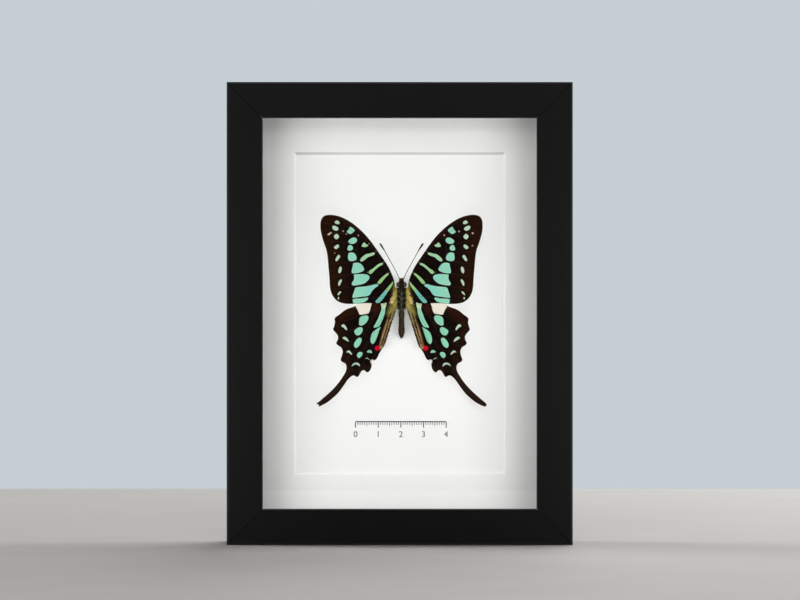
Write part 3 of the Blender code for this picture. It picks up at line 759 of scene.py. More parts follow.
HINDWING_MARKS = {
    "patch": ("cream", [(20.3, -2.7), (20.0, -1.0), (16.6, -0.4), (13.2, -1.0), (13.4, -2.8), (14.0, -5.0),
        (14.8, -6.1), (16.8, -6.4), (18.4, -6.5), (19.0, -5.3), (19.7, -3.9)]),
    "oval_1": ("sea", [(18.6, -8.2), (17.8, -7.2), (16.6, -6.75), (15.1, -6.8), (14.5, -7.5), (14.7, -8.8),
        (15.9, -10.4), (17.4, -11.3), (18.7, -11.0), (18.7, -9.5)]),
    "oval_2": ("sea", [(20.9, -13.7), (20.0, -12.7), (18.8, -12.0), (17.5, -12.0), (17.0, -12.9),
        (17.3, -14.2), (18.4, -15.4), (19.7, -15.6), (20.5, -14.9)]),
    "oval_3": ("sea", [(21.0, -19.4), (20.3, -18.0), (19.2, -16.8), (18.2, -16.5), (17.5, -17.1),
        (17.7, -18.4), (18.6, -20.2), (20.0, -21.2), (20.8, -20.6)]),
    "oval_4": ("sea", [(19.7, -24.2), (19.2, -23.2), (18.3, -22.8), (17.2, -23.1), (17.1, -24.0),
        (17.9, -25.2), (18.8, -25.6), (19.5, -25.0)]),
    "moon_1": ("mint", [(26.6, -11.4), (25.8, -10.6), (24.9, -11.0), (24.2, -12.1), (23.9, -13.1),
        (24.5, -13.3), (25.4, -12.3), (26.3, -11.8)]),
    "moon_2": ("mint", [(26.1, -16.7), (25.2, -16.1), (24.2, -16.5), (23.4, -17.5), (23.1, -18.5),
        (24.0, -18.1), (25.4, -17.3)]),
    "moon_3": ("mint", [(24.5, -23.3), (24.0, -22.5), (23.1, -22.1), (22.4, -22.7), (21.8, -23.5),
        (21.7, -24.1), (22.4, -24.0), (23.0, -23.4), (23.7, -23.1)]),
    "moon_4": ("sea", [(15.4, -23.0), (14.9, -22.3), (14.0, -21.9), (13.2, -22.4), (12.9, -23.3),
        (14.0, -23.3), (14.8, -23.2)]),
    "moon_5": ("mint", [(22.1, -29.3), (21.6, -28.3), (20.9, -27.7), (19.9, -27.5), (18.9, -27.7),
        (18.4, -28.4), (18.2, -29.3), (18.8, -29.1), (19.3, -28.6), (20.3, -28.5), (21.1, -28.8)]),
    "thin_line": ("pale_green", [(16.3, -26.0), (15.2, -25.3), (14.5, -25.8), (13.8, -26.3), (14.4, -26.3),
        (15.2, -25.8)]),
    "notch_fringe": ("cream", [(13.9, -27.0), (13.3, -26.2), (12.6, -26.1), (12.5, -26.9), (13.0, -28.6)]),
    "streak_5": ("sea", [(9.1, -1.0), (8.9, -4.0), (9.6, -6.0), (10.3, -8.0), (11.3, -10.0), (12.3, -11.8),
        (12.1, -12.2), (10.0, -11.8), (8.9, -10.0), (8.0, -8.0), (7.3, -6.0), (7.1, -4.0), (6.6, -1.0)]),
    "streak_6": ("sea", [(9.1, -11.8), (9.6, -13.0), (10.2, -15.0), (11.0, -17.2), (11.9, -18.9),
        (12.9, -19.4), (13.6, -18.5), (13.7, -17.0), (13.3, -15.3), (12.5, -13.9), (11.0, -12.8)]),
}

# %% Soft colours of the ground: a colour, a centre or a line, and how far it reaches
FOREWING_GROUND = [
    (linear(30, 11, 0), [(33.0, 38.0), (33.5, 26.0), (30.0, 12.0), (29.5, 2.0)], 5.5),
    (linear(28, 11, 2), [(12.0, 24.0), (20.0, 32.6), (29.0, 37.2)], 1.6),
    (linear(150, 138, 58), [(2.6, 6.5), (2.8, 3.6), (3.4, 1.2)], 0.9),
]
HINDWING_GROUND = [
    (linear(26, 10, 1), [(29.0, -8.0), (27.5, -18.0), (25.5, -27.0)], 3.6),
    (linear(38, 14, 4), [(21.8, -3.4), (25.5, -6.2)], 2.6),
    (linear(46, 17, 8), [(11.4, -1.0), (11.6, -4.2)], 1.9),
    (linear(30, 14, 8), [(18.0, -31.0), (14.2, -30.0)], 1.5),
    (linear(88, 74, 64), [(24.2, -33.0), (27.0, -37.0), (31.0, -41.6), (36.4, -46.0)], 0.5),
    (linear(32, 18, 11), [(24.0, -31.0), (27.0, -37.0), (31.0, -41.6), (36.4, -46.0)], 2.2),
    (linear(72, 52, 34), [(2.8, -4.6), (4.6, -10.6), (6.4, -16.6), (8.6, -21.6)], 0.9),
    (linear(182, 152, 106), [(4.9, -7.0), (6.1, -10.0), (7.2, -13.0), (8.1, -16.0), (8.8, -19.0),
                             (9.3, -21.0)], 0.55),
    (linear(150, 144, 72), [(2.6, -1.0), (3.6, -3.2), (4.6, -5.8)], 1.5),
    (linear(196, 142, 96), [(18.9, -1.4), (20.0, -2.2)], 0.9),
]
DARK_GROUND = linear(6, 1, 0)
SCALE_LOSS = {
    "left": [(32.2, 28.8, 0.40), (31.6, 29.2, 0.45), (31.0, 29.6, 0.35), (25.7, 30.3, 0.35),
             (24.3, 29.0, 0.30), (19.0, 28.4, 0.35), (14.3, 24.8, 0.25), (29.4, 20.6, 0.25)],
    "right": [(31.3, 29.4, 0.50), (25.3, 30.2, 0.42), (18.8, 28.5, 0.40), (31.2, 23.9, 0.35)],
}


# %% [markdown]
# ## From an outline to a wing
#
# A square grid of points is laid over the outline and trimmed to it, as one would trim a sheet: whole
# cells are kept where their middle is inside, and the points left at the rim slide onto the curve.
# The height above the card is a formula of the place: a steady rise from the body, a little camber, a
# ridge at each vein and a slack membrane between them.

# %% Trim a grid to an outline
GRID_STEP = 0.2


def trimmed_grid(outline, step):
    """Points and cells of a square grid that fill an outline.

    Formula: a cell stays if its middle lies inside. A point with fewer than four cells left is at
    the rim, and moves by its inside distance down that distance's own slope, onto the curve.
    """
    reach_low, reach_high = outline.min(axis=0) - step, outline.max(axis=0) + 2 * step
    out = np.arange(reach_low[0], reach_high[0], step)
    along = np.arange(reach_low[1], reach_high[1], step)
    grid = np.stack(np.meshgrid(out, along, indexing="ij"), axis=-1)
    middles = (grid[:-1, :-1] + step / 2).reshape(-1, 2)
    cells = grid_faces(len(out), len(along))[inside_distance(middles, outline) > 0]
    used, cells = np.unique(cells, return_inverse=True)
    cells = cells.reshape(-1, 4)
    points = grid.reshape(-1, 2)[used]
    rim = np.bincount(cells.ravel(), minlength=len(points)) < 4
    small = 0.02
    edge = points[rim]
    slope = np.stack([inside_distance(edge + shift, outline) - inside_distance(edge - shift, outline)
                      for shift in (np.array([small, 0.0]), np.array([0.0, small]))], axis=-1)
    slope /= np.maximum(np.linalg.norm(slope, axis=1, keepdims=True), 1e-9)
    points[rim] = edge - inside_distance(edge, outline)[:, None] * slope
    return points, cells


# %% What a wing's scales read at each point
def read_marks(points, marks, shift):
    """Distance inside the nearest mark, and that mark's tint, at each point."""
    edge = np.full(len(points), -9.0)
    tint = np.tile(TINTS["mint"], (len(points), 1))
    for colour, loop in marks.values():
        curve = smooth_curve(loop, 4) + np.array([shift, 0.0])
        near = np.all((points > curve.min(axis=0) - 2) & (points < curve.max(axis=0) + 2), axis=1)
        distance = inside_distance(points[near], curve)
        closer = np.flatnonzero(near)[distance > edge[near]]
        edge[closer] = distance[distance > edge[near]]
        tint[closer] = TINTS[colour]
    return edge, tint


def read_ground(points, strokes):
    """The ground's colour: each stroke's own colour laid on with weight exp(-(distance / reach)²)."""
    ground = np.tile(DARK_GROUND, (len(points), 1))
    for colour, line, reach in strokes:
        distance = line_distance(points, smooth_curve(line, 4, closed=False))
        weight = np.exp(-(distance / reach) ** 2)[:, None]
        ground = ground * (1 - weight) + np.array(colour) * weight
    return ground


# %% Colours of the marks and of the ground
def mark_colours(tree, edge, vein, grain, dust):
    """A pale mark: lighter at its rim, dusted, and crossed by darker veins."""
    tint = stored(tree, "tint", "Vector")
    pale = colour_mix(tree, 0.16, tint, linear(226, 236, 216))
    mark = colour_mix(tree, spread(tree, edge, 0.05, 0.75), pale, tint)
    mark = colour_mix(tree, spread(tree, dust, 0.35, 0.75, 0.0, 0.22), mark, (1.0, 1.0, 0.94), "MULTIPLY")
    mark = colour_mix(tree, spread(tree, grain, 0.3, 0.8, 0.0, 0.16), mark, (0.55, 0.62, 0.55), "MULTIPLY")
    on_vein = spread(tree, vein, 0.05, 0.16, 1.0, 0.0)
    return colour_mix(tree, maths(tree, "MULTIPLY", on_vein, 0.55), mark, linear(70, 90, 60))


def ground_colours(tree, where, edge, vein, grain, dust):
    """The dark ground: reddish flecks, stray pale scales, darker round the marks, lighter on veins."""
    ground = stored(tree, "ground", "Vector")
    ground = colour_mix(tree, spread(tree, dust, 0.3, 0.75, 0.0, 0.6), ground, (1.3, 1.15, 1.0), "MULTIPLY")
    fleck = speckle(tree, where, 0.9, detail=5.0, rough=0.8)
    ground = colour_mix(tree, spread(tree, fleck, 0.56, 0.72, 0.0, 0.65), ground, linear(58, 20, 9))
    velvet = spread(tree, grain, 0.35, 0.75, 0.0, 0.5)
    ground = colour_mix(tree, velvet, ground, (0.45, 0.42, 0.42), "MULTIPLY")
    stray = spread(tree, speckle(tree, where, 3.2, detail=1.0), 0.735, 0.765, 0.0, 0.75)
    ground = colour_mix(tree, stray, ground, linear(118, 74, 58))
    near_mark = spread(tree, edge, -1.1, 0.0, 0.0, 0.55)
    ground = colour_mix(tree, near_mark, ground, (0.25, 0.26, 0.25), "MULTIPLY")
    on_vein = maths(tree, "MULTIPLY", spread(tree, vein, 0.06, 0.28, 1.0, 0.0), 0.25)
    return colour_mix(tree, on_vein, ground, linear(58, 38, 30))


# %% Scales of the wing: marks, worn places and the red spot on the ground
def wing_scales():
    """Rows of tiny scales: the marks lie on the ground, with worn places between and one red spot."""
    finish, tree, shader = new_finish("wing_scales", {"Specular IOR Level": 0.03})
    where = place(tree)
    edge, vein = stored(tree, "edge"), stored(tree, "vein")
    grain = speckle(tree, where, 5.0, detail=2.0)
    dust = speckle(tree, where, 1.1, detail=3.0)
    wander = maths(tree, "MULTIPLY", maths(tree, "SUBTRACT", grain, 0.5), 0.22)
    mark = mark_colours(tree, edge, vein, grain, dust)
    ground = ground_colours(tree, where, edge, vein, grain, dust)
    lost = spread(tree, maths(tree, "ADD", stored(tree, "lost"), wander), 0.42, 0.6, 0.0, 0.9)
    ground = colour_mix(tree, lost, ground, linear(206, 180, 166))
    inside = spread(tree, maths(tree, "ADD", edge, wander), -0.02, 0.20)
    both = colour_mix(tree, inside, ground, mark)
    spot = spread(tree, maths(tree, "ADD", stored(tree, "spot"), wander), 0.22, 0.62)
    feed(tree, shader, base_color=colour_mix(tree, spot, both, TINTS["red"]))
    feed(tree, shader, roughness=spread(tree, grain, 0.2, 0.8, 0.62, 0.8))
    rows = put(tree, "TexVoronoi", {"Vector": where, "Scale": 7.0}).outputs["Distance"]
    relief(tree, shader, maths(tree, "ADD", rows, dust), 0.35, 0.03)
    return finish


# %% Height of a wing, and what differs between its two kinds
WING_SLOPE = 0.042
RED_SPOT = (10.7, -21.2, 1.12)


def wing_height(points, vein, root):
    """Height above the card.

    Formula: root + slope * out + 0.5 sin(half turn across the wing) + 0.07 exp(-(vein / 0.22)²)
    - 0.12 (1 - exp(-vein / 1.2)), where vein is the distance to the nearest vein.
    """
    out = points[:, 0]
    camber = 0.5 * np.sin(np.pi * np.clip(out / 36, 0, 1))
    ridge = 0.07 * np.exp(-(vein / 0.22) ** 2)
    slack = 0.12 * (1 - np.exp(-vein / 1.2))
    return root + WING_SLOPE * out + camber + ridge - slack


def forewing_shades(points, tint, key):
    """Marks that turn greener and bluer towards the body, and the weight of each lost patch."""
    out, along = points.T
    green = tint[:, :1] == TINTS["green"][0]
    inward = green * smoothstep(along, 19.0, 8.0)[:, None]
    tint = tint * (1 - inward) + np.array(TINTS["leaf"]) * inward
    blue = (tint[:, :1] == TINTS["turquoise"][0]) * smoothstep(out, 19.0, 10.5)[:, None]
    tint = tint * (1 - blue) + np.array(TINTS["lagoon"]) * blue
    shore = green * smoothstep(along, 5.0, 3.2)[:, None]
    tint = tint * (1 - shore) + np.array(TINTS["teal"]) * shore
    lost = sum(np.exp(-((out - x) ** 2 + (along - z) ** 2) / r ** 2) for x, z, r in SCALE_LOSS[key])
    return tint, lost


def hindwing_shades(points, tint):
    """Marks paler at the root, the red spot's weight, and how far the fold and the tail drop."""
    out, along = points.T
    top = (smoothstep(along, -5.0, -2.5) * (out < 11))[:, None]
    tint = tint * (1 - top) + np.array(TINTS["pale_green"]) * top
    spot = np.exp(-((out - RED_SPOT[0]) ** 2 + (along - RED_SPOT[1]) ** 2) / RED_SPOT[2] ** 2)
    inner = line_distance(points, smooth_curve(HINDWING_VEINS[-1], 4, closed=False))
    past_fold = inner * (inside_distance(points, np.array([*HINDWING_VEINS[-1], (0, -26), (0, 4)])) > 0)
    drop = 0.32 * past_fold + 0.8 * smoothstep(along, -36, -47) ** 2
    return tint, spot, drop


# %% Build one wing
MEMBRANE = 0.12 * MM


def wing(kind, key, side, outline, veins, marks, strokes, root, finish):
    """One wing, left or right; the right one carries its marks a hair nearer the body."""
    points, cells = trimmed_grid(smooth_curve(outline, 4), GRID_STEP)
    vein = np.min([line_distance(points, smooth_curve(line, 4, closed=False)) for line in veins], axis=0)
    edge, tint = read_marks(points, marks, 0.0 if key == "left" else -0.2)
    out, along = points.T
    lost = spot = drop = np.zeros(len(points))
    if kind == "forewing":
        tint, lost = forewing_shades(points, tint, key)
    else:
        tint, spot, drop = hindwing_shades(points, tint)
    height = wing_height(points, vein, root) - drop
    values = {"edge": edge, "tint": tint, "vein": vein, "lost": lost, "spot": spot,
              "ground": read_ground(points, strokes)}
    name = f"{kind}_{key}"
    faces = cells if side > 0 else cells[:, ::-1]
    made = add_piece(f"{name}_scaled", on_card(out, height, along, side), faces, finish, [name],
                     values)
    skin = made.modifiers.new("membrane", "SOLIDIFY")
    skin.thickness = MEMBRANE
    skin.offset = 0.0
    return made


scales = wing_scales()
wings = []
for key, side in SIDES.items():
    hindwing_outline = [*HINDWING_OUTER, *TAIL_TIP[key], *HINDWING_INNER]
    wings += [
        wing("forewing", key, side, FOREWING_OUTLINE, FOREWING_VEINS, FOREWING_MARKS, FOREWING_GROUND, 4.3,
             scales),
        wing("hindwing", key, side, hindwing_outline, HINDWING_VEINS, HINDWING_MARKS, HINDWING_GROUND, 3.6,
             scales),
    ]
let_past([*side_lamps, wide_lamp], wings)

# %% [markdown]
# ## Head, thorax and abdomen
#
# The body is three horny capsules in a row: a round head, a thick thorax full of flight muscle, and a
# slim ringed abdomen. Each is a tube of ellipses threaded on the midline. A few stations give its
# half width, half depth and height above the card, and a smooth curve runs between them.

# %% Stations along the body, in millimetres: along, half width, half depth, height
HEAD_STATIONS = [(5.3, 0.9, 0.9, 3.5), (6.0, 1.5, 1.3, 3.5), (6.8, 1.75, 1.5, 3.6), (7.6, 1.5, 1.4, 3.7),
                 (8.4, 0.95, 1.0, 3.8), (9.1, 0.65, 0.7, 3.9), (9.5, 0.2, 0.2, 3.9)]
THORAX_STATIONS = [(-4.0, 0.8, 0.9, 3.2), (-3.4, 1.5, 1.5, 3.2), (-2.0, 2.0, 2.0, 3.2),
                   (0.0, 2.15, 2.1, 3.3), (2.0, 2.1, 2.1, 3.3), (3.6, 2.0, 1.9, 3.4),
                   (4.9, 1.8, 1.6, 3.4), (5.6, 1.35, 1.2, 3.5)]
ABDOMEN_STATIONS = [(-4.0, 0.9, 0.9, 3.2), (-5.4, 1.32, 1.35, 3.1), (-8.0, 1.2, 1.4, 3.0),
                    (-10.5, 1.28, 1.4, 2.9), (-13.1, 1.46, 1.4, 2.7), (-14.9, 1.2, 1.1, 2.6),
                    (-16.2, 0.72, 0.7, 2.5), (-17.0, 0.2, 0.2, 2.5)]
RING_SPACING = 1.5
BODY_AROUND = 40


# %% Helpers: closed tubes
def closed_tube(rings, mirrored=False):
    """Points and faces of a tube through rings (rows, columns, 3), each end closed on its middle."""
    rows, columns = rings.shape[:2]
    points = np.concatenate([rings.reshape(-1, 3), rings[[0, -1]].mean(axis=1)])
    turn = np.arange(columns)
    after = (turn + 1) % columns
    pole, far = np.full(columns, rows * columns), (rows - 1) * columns
    walls = grid_faces(rows, columns, close_columns=True)
    caps = np.concatenate([np.stack([pole, after, turn], axis=-1),
                           np.stack([pole + 1, far + turn, far + after], axis=-1)])
    if mirrored:
        walls, caps = walls[:, ::-1], caps[:, ::-1]
    return points, [*walls, *caps]


def at_station(stations, along):
    """Half width, half depth and height of a body part at any place along it."""
    curve = smooth_curve(sorted(stations), 12, closed=False)
    return (np.interp(along, curve[:, 0], curve[:, column]) for column in (1, 2, 3))


def body_part(name, stations, finish, groove=0.0):
    """A closed tube of ellipses round the midline.

    Formula: point (along, angle) = (half width cos angle, height + half depth sin angle, along), both
    halves times 1 - groove exp(-(d / 0.16)²), where d is the distance to the nearest ring joint.
    """
    along = smooth_curve(sorted(stations), 12, closed=False)[:, :1]
    wide, deep, height = at_station(stations, along)
    angle = np.linspace(0, 2 * np.pi, BODY_AROUND, endpoint=False)[None]
    joint = (along / RING_SPACING + 0.5) % 1 - 0.5
    pinch = 1 - groove * np.exp(-(joint * RING_SPACING / 0.16) ** 2)
    rings = on_card(wide * pinch * np.cos(angle), height + deep * pinch * np.sin(angle), along)
    points, faces = closed_tube(rings, mirrored=True)
    joints = np.repeat(np.abs(joint) * RING_SPACING, BODY_AROUND)
    values = {"joint": np.append(joints, [0, 0])}
    add_piece(name, points, faces, finish, [name.split("_")[0]], values)


# %% Finishes of the body
def horn(name, dark, light, specular=0.25):
    """Horny skin under flat scales: dark, mottled, lighter in the middle of each ring."""
    finish, tree, shader = new_finish(name, {"Specular IOR Level": specular})
    where = place(tree)
    grain = speckle(tree, where, 3.5, detail=4.0, rough=0.65)
    mottle = speckle(tree, place(tree, (1.0, 1.0, 0.6)), 1.3, detail=3.0)
    skin = colour_mix(tree, spread(tree, mottle, 0.4, 0.68), dark, light)
    ring = spread(tree, stored(tree, "joint"), 0.05, 0.45, 0.75, 0.0)
    skin = colour_mix(tree, ring, skin, (0.25, 0.22, 0.2), "MULTIPLY")
    skin = colour_mix(tree, spread(tree, grain, 0.4, 0.75, 0.0, 0.6), skin, (1.7, 1.6, 1.45), "MULTIPLY")
    feed(tree, shader, base_color=skin)
    feed(tree, shader, roughness=spread(tree, grain, 0.2, 0.8, 0.42, 0.7))
    scales = put(tree, "TexVoronoi", {"Vector": where, "Scale": 6.0}).outputs["Distance"]
    relief(tree, shader, maths(tree, "ADD", grain, scales), 0.5, 0.05)
    return finish


thorax_horn = horn("thorax_horn", linear(22, 18, 9), linear(46, 42, 24), 0.15)
abdomen_horn = horn("abdomen_horn", linear(26, 17, 8), linear(70, 56, 36), 0.12)
body_part("thorax_rounded", THORAX_STATIONS, thorax_horn)
body_part("abdomen_ringed", ABDOMEN_STATIONS, abdomen_horn, groove=0.11)
head_horn = horn("head_horn", linear(20, 11, 6), linear(44, 28, 16), 0.12)
body_part("head_rounded", HEAD_STATIONS, head_horn)

# %% [markdown]
# ## Eyes
#
# A butterfly's eye is a dome of thousands of tiny lenses. The dome is an ellipsoid and the lenses are
# a fine cell pattern in its relief. A paler crescent on its upper side towards the midline is a painted
# highlight.

# %% Eyes
EYE_MIDDLE = (1.5, 3.95, 6.8)
EYE_RADII = np.array([0.86, 1.05, 1.1])


def eye_lenses():
    """Dark brown polished lenses with a painted highlight: a paler crescent on the upper inner side."""
    finish, tree, shader = new_finish("eye_lenses", {"Specular IOR Level": 0.5, "Roughness": 0.3})
    where = place(tree)
    lens = put(tree, "TexVoronoi", {"Vector": where, "Scale": 14.0}).outputs["Distance"]
    blotch = speckle(tree, where, 2.2, detail=2.0)
    dark = colour_mix(tree, blotch, linear(14, 9, 7), linear(34, 24, 17))
    painted_highlight = spread(tree, maths(tree, "ADD", stored(tree, "rim"), maths(tree, "MULTIPLY", blotch, 0.4)),
                      0.62, 0.95)
    # the paler colour is a painted highlight, laid on the eye's upper inner side
    feed(tree, shader, base_color=colour_mix(tree, painted_highlight, dark, linear(88, 78, 50)))
    relief(tree, shader, lens, 0.3, 0.02)
    return finish


def eye(key, side, finish):
    """One eye, a dome that stores how near each point is to the painted highlight's pale crescent.

    Formula: point (tilt, turn) = middle + radii * (sin tilt cos turn, sin tilt sin turn, cos tilt).
    """
    tilt = np.linspace(0.06, np.pi - 0.06, 24)[:, None]
    turn = np.linspace(0, 2 * np.pi, 36, endpoint=False)[None]
    ball = np.stack(np.broadcast_arrays(np.sin(tilt) * np.cos(turn), np.sin(tilt) * np.sin(turn),
                                        np.cos(tilt)), axis=-1)
    out, height, along = (ball * EYE_RADII + EYE_MIDDLE).transpose(2, 0, 1)
    points, faces = closed_tube(on_card(out, height, along, side), mirrored=side < 0)
    # painted highlight: a band on the upper side towards the midline, where the light falls
    towards = np.clip(-0.75 * ball[..., 0] + 0.66 * ball[..., 1], 0, 1).ravel()
    rim = np.where(np.abs(towards - 0.82) < 0.14, 1 - np.abs(towards - 0.82) / 0.14, 0.0)
    add_piece(f"eye_{key}", points, faces, finish, ["head"], {"rim": np.append(rim, [0, 0])})


lenses = eye_lenses()
for key, side in SIDES.items():
    eye(key, side, lenses)

# %% [markdown]
# ## Antennae and legs
#
# Both are profiles along a path: a ring of points is carried down a smooth curve and kept square to
# it. An antenna is a chain of short joints that thickens to a club; a leg is folded under the body.

# %% Helper: a round stem along a path
def stem(points, steps, around, ripple=0.0, joint=0.3):
    """Rings along a curve through (out, height, along, radius) points.

    Formula: ring point (i, angle) = middle + radius (1 + ripple sin(turns)) (cos angle a + sin angle b),
    with turns = 2 pi times the length so far over one joint, a = run x up and b = run x a.
    """
    curve = smooth_curve(points, steps, closed=False)
    middle, radius = curve[:, :3], curve[:, 3]
    run = np.gradient(middle, axis=0)
    far = np.concatenate([[0], np.cumsum(np.linalg.norm(np.diff(middle, axis=0), axis=1))])
    run /= np.linalg.norm(run, axis=1, keepdims=True)
    a = np.cross(run, (0.0, 1.0, 0.0))
    a /= np.linalg.norm(a, axis=1, keepdims=True)
    b = np.cross(run, a)
    angle = np.linspace(0, 2 * np.pi, around, endpoint=False)[None, :, None]
    radius = (radius * (1 + ripple * np.sin(2 * np.pi * far / joint)))[:, None, None]
    rings = middle[:, None] + radius * (np.cos(angle) * a[:, None] + np.sin(angle) * b[:, None])
    share = np.append(np.repeat(far / far[-1], around), [0, 1])
    return rings, share


# %% Antennae
ANTENNA_POINTS = [(0.75, 4.4, 8.9, 0.19), (1.6, 4.6, 10.9, 0.15), (3.0, 4.7, 13.7, 0.15),
                  (5.1, 4.9, 17.4, 0.15), (7.0, 5.1, 20.9, 0.18), (8.1, 5.2, 22.7, 0.33),
                  (8.95, 5.2, 24.05, 0.42), (9.4, 5.2, 24.7, 0.33), (9.6, 5.2, 25.0, 0.1)]


def antenna_skin():
    """Grey-brown joints, with a velvety black club."""
    finish, tree, shader = new_finish("antenna_skin", {"Specular IOR Level": 0.25, "Roughness": 0.5})
    grain = speckle(tree, place(tree), 6.0, detail=3.0)
    shaft = colour_mix(tree, grain, linear(22, 20, 19), linear(62, 60, 57))
    club = spread(tree, stored(tree, "share"), 0.74, 0.86)
    feed(tree, shader, base_color=colour_mix(tree, club, shaft, linear(20, 18, 18)))
    relief(tree, shader, grain, 0.4, 0.03)
    return finish


feeler = antenna_skin()
for key, side in SIDES.items():
    rings, share = stem(ANTENNA_POINTS, 60, 12, ripple=0.07, joint=0.42)
    points, faces = closed_tube(on_card(*rings.transpose(2, 0, 1), side), mirrored=side > 0)
    add_piece(f"antenna_{key}_jointed", points, faces, feeler, [f"antenna_{key}"], {"share": share})

# %% Legs
LEG_HIPS = {"fore": 3.0, "mid": 0.2, "hind": -2.6}
LEG_HIP_OUT = 1.75
LEG_POINTS = [(0.0, 1.1, 0.0, 0.22), (0.4, 1.05, 0.5, 0.27), (0.8, 1.0, 1.0, 0.22),
              (1.15, 0.82, 1.25, 0.15), (1.1, 0.75, 0.8, 0.17), (0.9, 0.7, 0.2, 0.15),
              (0.72, 0.7, -0.4, 0.10), (0.5, 0.68, -1.1, 0.09)]


def leg_skin():
    """Dark glossy horn, paler where dust of the scales clings."""
    finish, tree, shader = new_finish("leg_skin", {"Specular IOR Level": 0.4, "Roughness": 0.4})
    grain = speckle(tree, place(tree), 7.0, detail=3.0)
    feed(tree, shader, base_color=colour_mix(tree, grain, linear(26, 18, 12), linear(74, 58, 40)))
    relief(tree, shader, grain, 0.4, 0.03)
    return finish


leg_finish = leg_skin()
for pair, hip in LEG_HIPS.items():
    for key, side in SIDES.items():
        rings, share = stem(LEG_POINTS, 10, 12, ripple=0.04, joint=0.3)
        out, height, along = rings.transpose(2, 0, 1)
        points, faces = closed_tube(on_card(out + LEG_HIP_OUT, height, along + hip, side), mirrored=side > 0)
        add_piece(f"leg_{pair}_{key}_folded", points, faces, leg_finish, [f"leg_{pair}_{key}"])

# %% [markdown]
# ## Hair
#
# Long scales like hair clothe the thorax, the roots of the wings and the hindwings' inner edges. Each
# hair is a three-sided spike and thousands of them are joined into one mesh per place. Where they grow
# is given by short lines; how they lie turns gradually from one end of its line to the other.

# %% Helper: many hairs as one mesh
HAIR_SHARES = np.array([0.0, 0.45, 1.0])
HAIR_TAPER = np.array([1.0, 0.8, 0.15])


def hairs(name, side, roots, ways, lengths, tints, radius, finish, droop=0.15):
    """Three-sided tapered spikes.

    Formula: at share s of its length a hair's middle is root + length (s way - droop s² up). Round
    it stand three corners, a third of a turn apart, at the radius times 1, 0.8 and 0.15 for s = 0,
    0.45 and 1.
    """
    count = len(roots)
    ways = ways / np.linalg.norm(ways, axis=1, keepdims=True)
    across = np.cross(ways, (0.0, 1.0, 0.001))
    across /= np.linalg.norm(across, axis=1, keepdims=True)
    beside = np.cross(ways, across)
    s = HAIR_SHARES[None, :, None]
    bow = s * ways[:, None] - droop * s ** 2 * np.array([0, 1, 0])
    middle = roots[:, None] + lengths[:, None, None] * bow
    turn = (2 * np.pi / 3 * np.arange(3))[:, None]
    corner = np.cos(turn) * across[:, None] + np.sin(turn) * beside[:, None]
    points = middle[:, :, None] + (radius * HAIR_TAPER)[None, :, None, None] * corner[:, None]
    first = 9 * np.arange(count)[:, None, None]
    walls = (first + grid_faces(3, 3, close_columns=True)).reshape(-1, 4)
    caps = (first + np.array([[2, 1, 0], [6, 7, 8]])).reshape(-1, 3)
    faces = [*walls[:, ::-1], *caps[:, ::-1]] if side > 0 else [*walls, *caps]
    values = {"tint": np.repeat(tints, 9, axis=0), "share": np.tile(np.repeat(HAIR_SHARES, 3), count)}
    add_piece(name, on_card(*points.reshape(-1, 3).T, side), faces, finish, values=values)


def hair_finish():
    """Dull keratin: each hair has its own tint, with painted shade darkening it towards the root, and paler
    patches.
    """
    finish, tree, shader = new_finish("hair", {"Specular IOR Level": 0.04, "Roughness": 0.7})
    tint = stored(tree, "tint", "Vector")
    # painted shade: each hair darkens towards its root, down in the coat where the hairs shade one another
    shade = spread(tree, stored(tree, "share"), 0.0, 0.5, 0.55, 0.0)
    grain = speckle(tree, place(tree), 4.0)
    tone = colour_mix(tree, shade, tint, (0.4, 0.38, 0.36), "MULTIPLY")
    tone = colour_mix(tree, spread(tree, grain, 0.3, 0.7, 0.0, 0.5), tone, (1.35, 1.3, 1.2), "MULTIPLY")
    feed(tree, shader, base_color=tone)
    return finish


# %% Where hair grows beside the body
# each: first and last root, first and last way, length, how many, first and last tint, scatter of roots
TUFTS = [
    ((2.35, 4.5, 5.4), (2.5, 4.6, 0.8), (0.25, 0.1, -1.0), (0.85, 0.1, -0.6), 1.8, 620,
     linear(196, 180, 84), linear(238, 222, 124), 0.2),
    ((3.0, 4.6, 1.4), (3.7, 4.5, -0.6), (0.9, 0.15, -0.35), (0.7, 0.1, -0.9), 1.8, 420,
     linear(246, 226, 150), linear(248, 218, 170), 0.25),
    ((2.4, 4.5, -0.2), (2.2, 4.3, -2.6), (0.6, 0.05, -0.95), (0.5, 0.0, -1.0), 2.6, 420,
     linear(220, 208, 116), linear(196, 176, 92), 0.25),
    ((3.2, 4.1, -3.0), (5.2, 4.2, -9.5), (0.3, 0.1, -1.0), (0.35, 0.1, -1.0), 1.6, 260,
     linear(200, 188, 108), linear(206, 176, 116), 0.22),
    ((5.2, 4.1, -9.5), (8.7, 4.2, -20.4), (0.33, 0.05, -1.0), (0.38, 0.05, -1.0), 1.3, 300,
     linear(214, 180, 126), linear(222, 184, 134), 0.13),
    ((2.6, 3.7, -4.0), (7.9, 3.5, -20.4), (0.1, -0.05, -1.0), (0.1, -0.05, -1.0), 1.0, 420,
     linear(70, 50, 32), linear(76, 54, 36), 0.16),
    ((4.5, 4.25, -5.5), (9.0, 4.25, -20.2), (0.36, 0.05, -1.0), (0.4, 0.05, -1.0), 1.2, 380,
     linear(44, 28, 16), linear(48, 30, 18), 0.18),
]


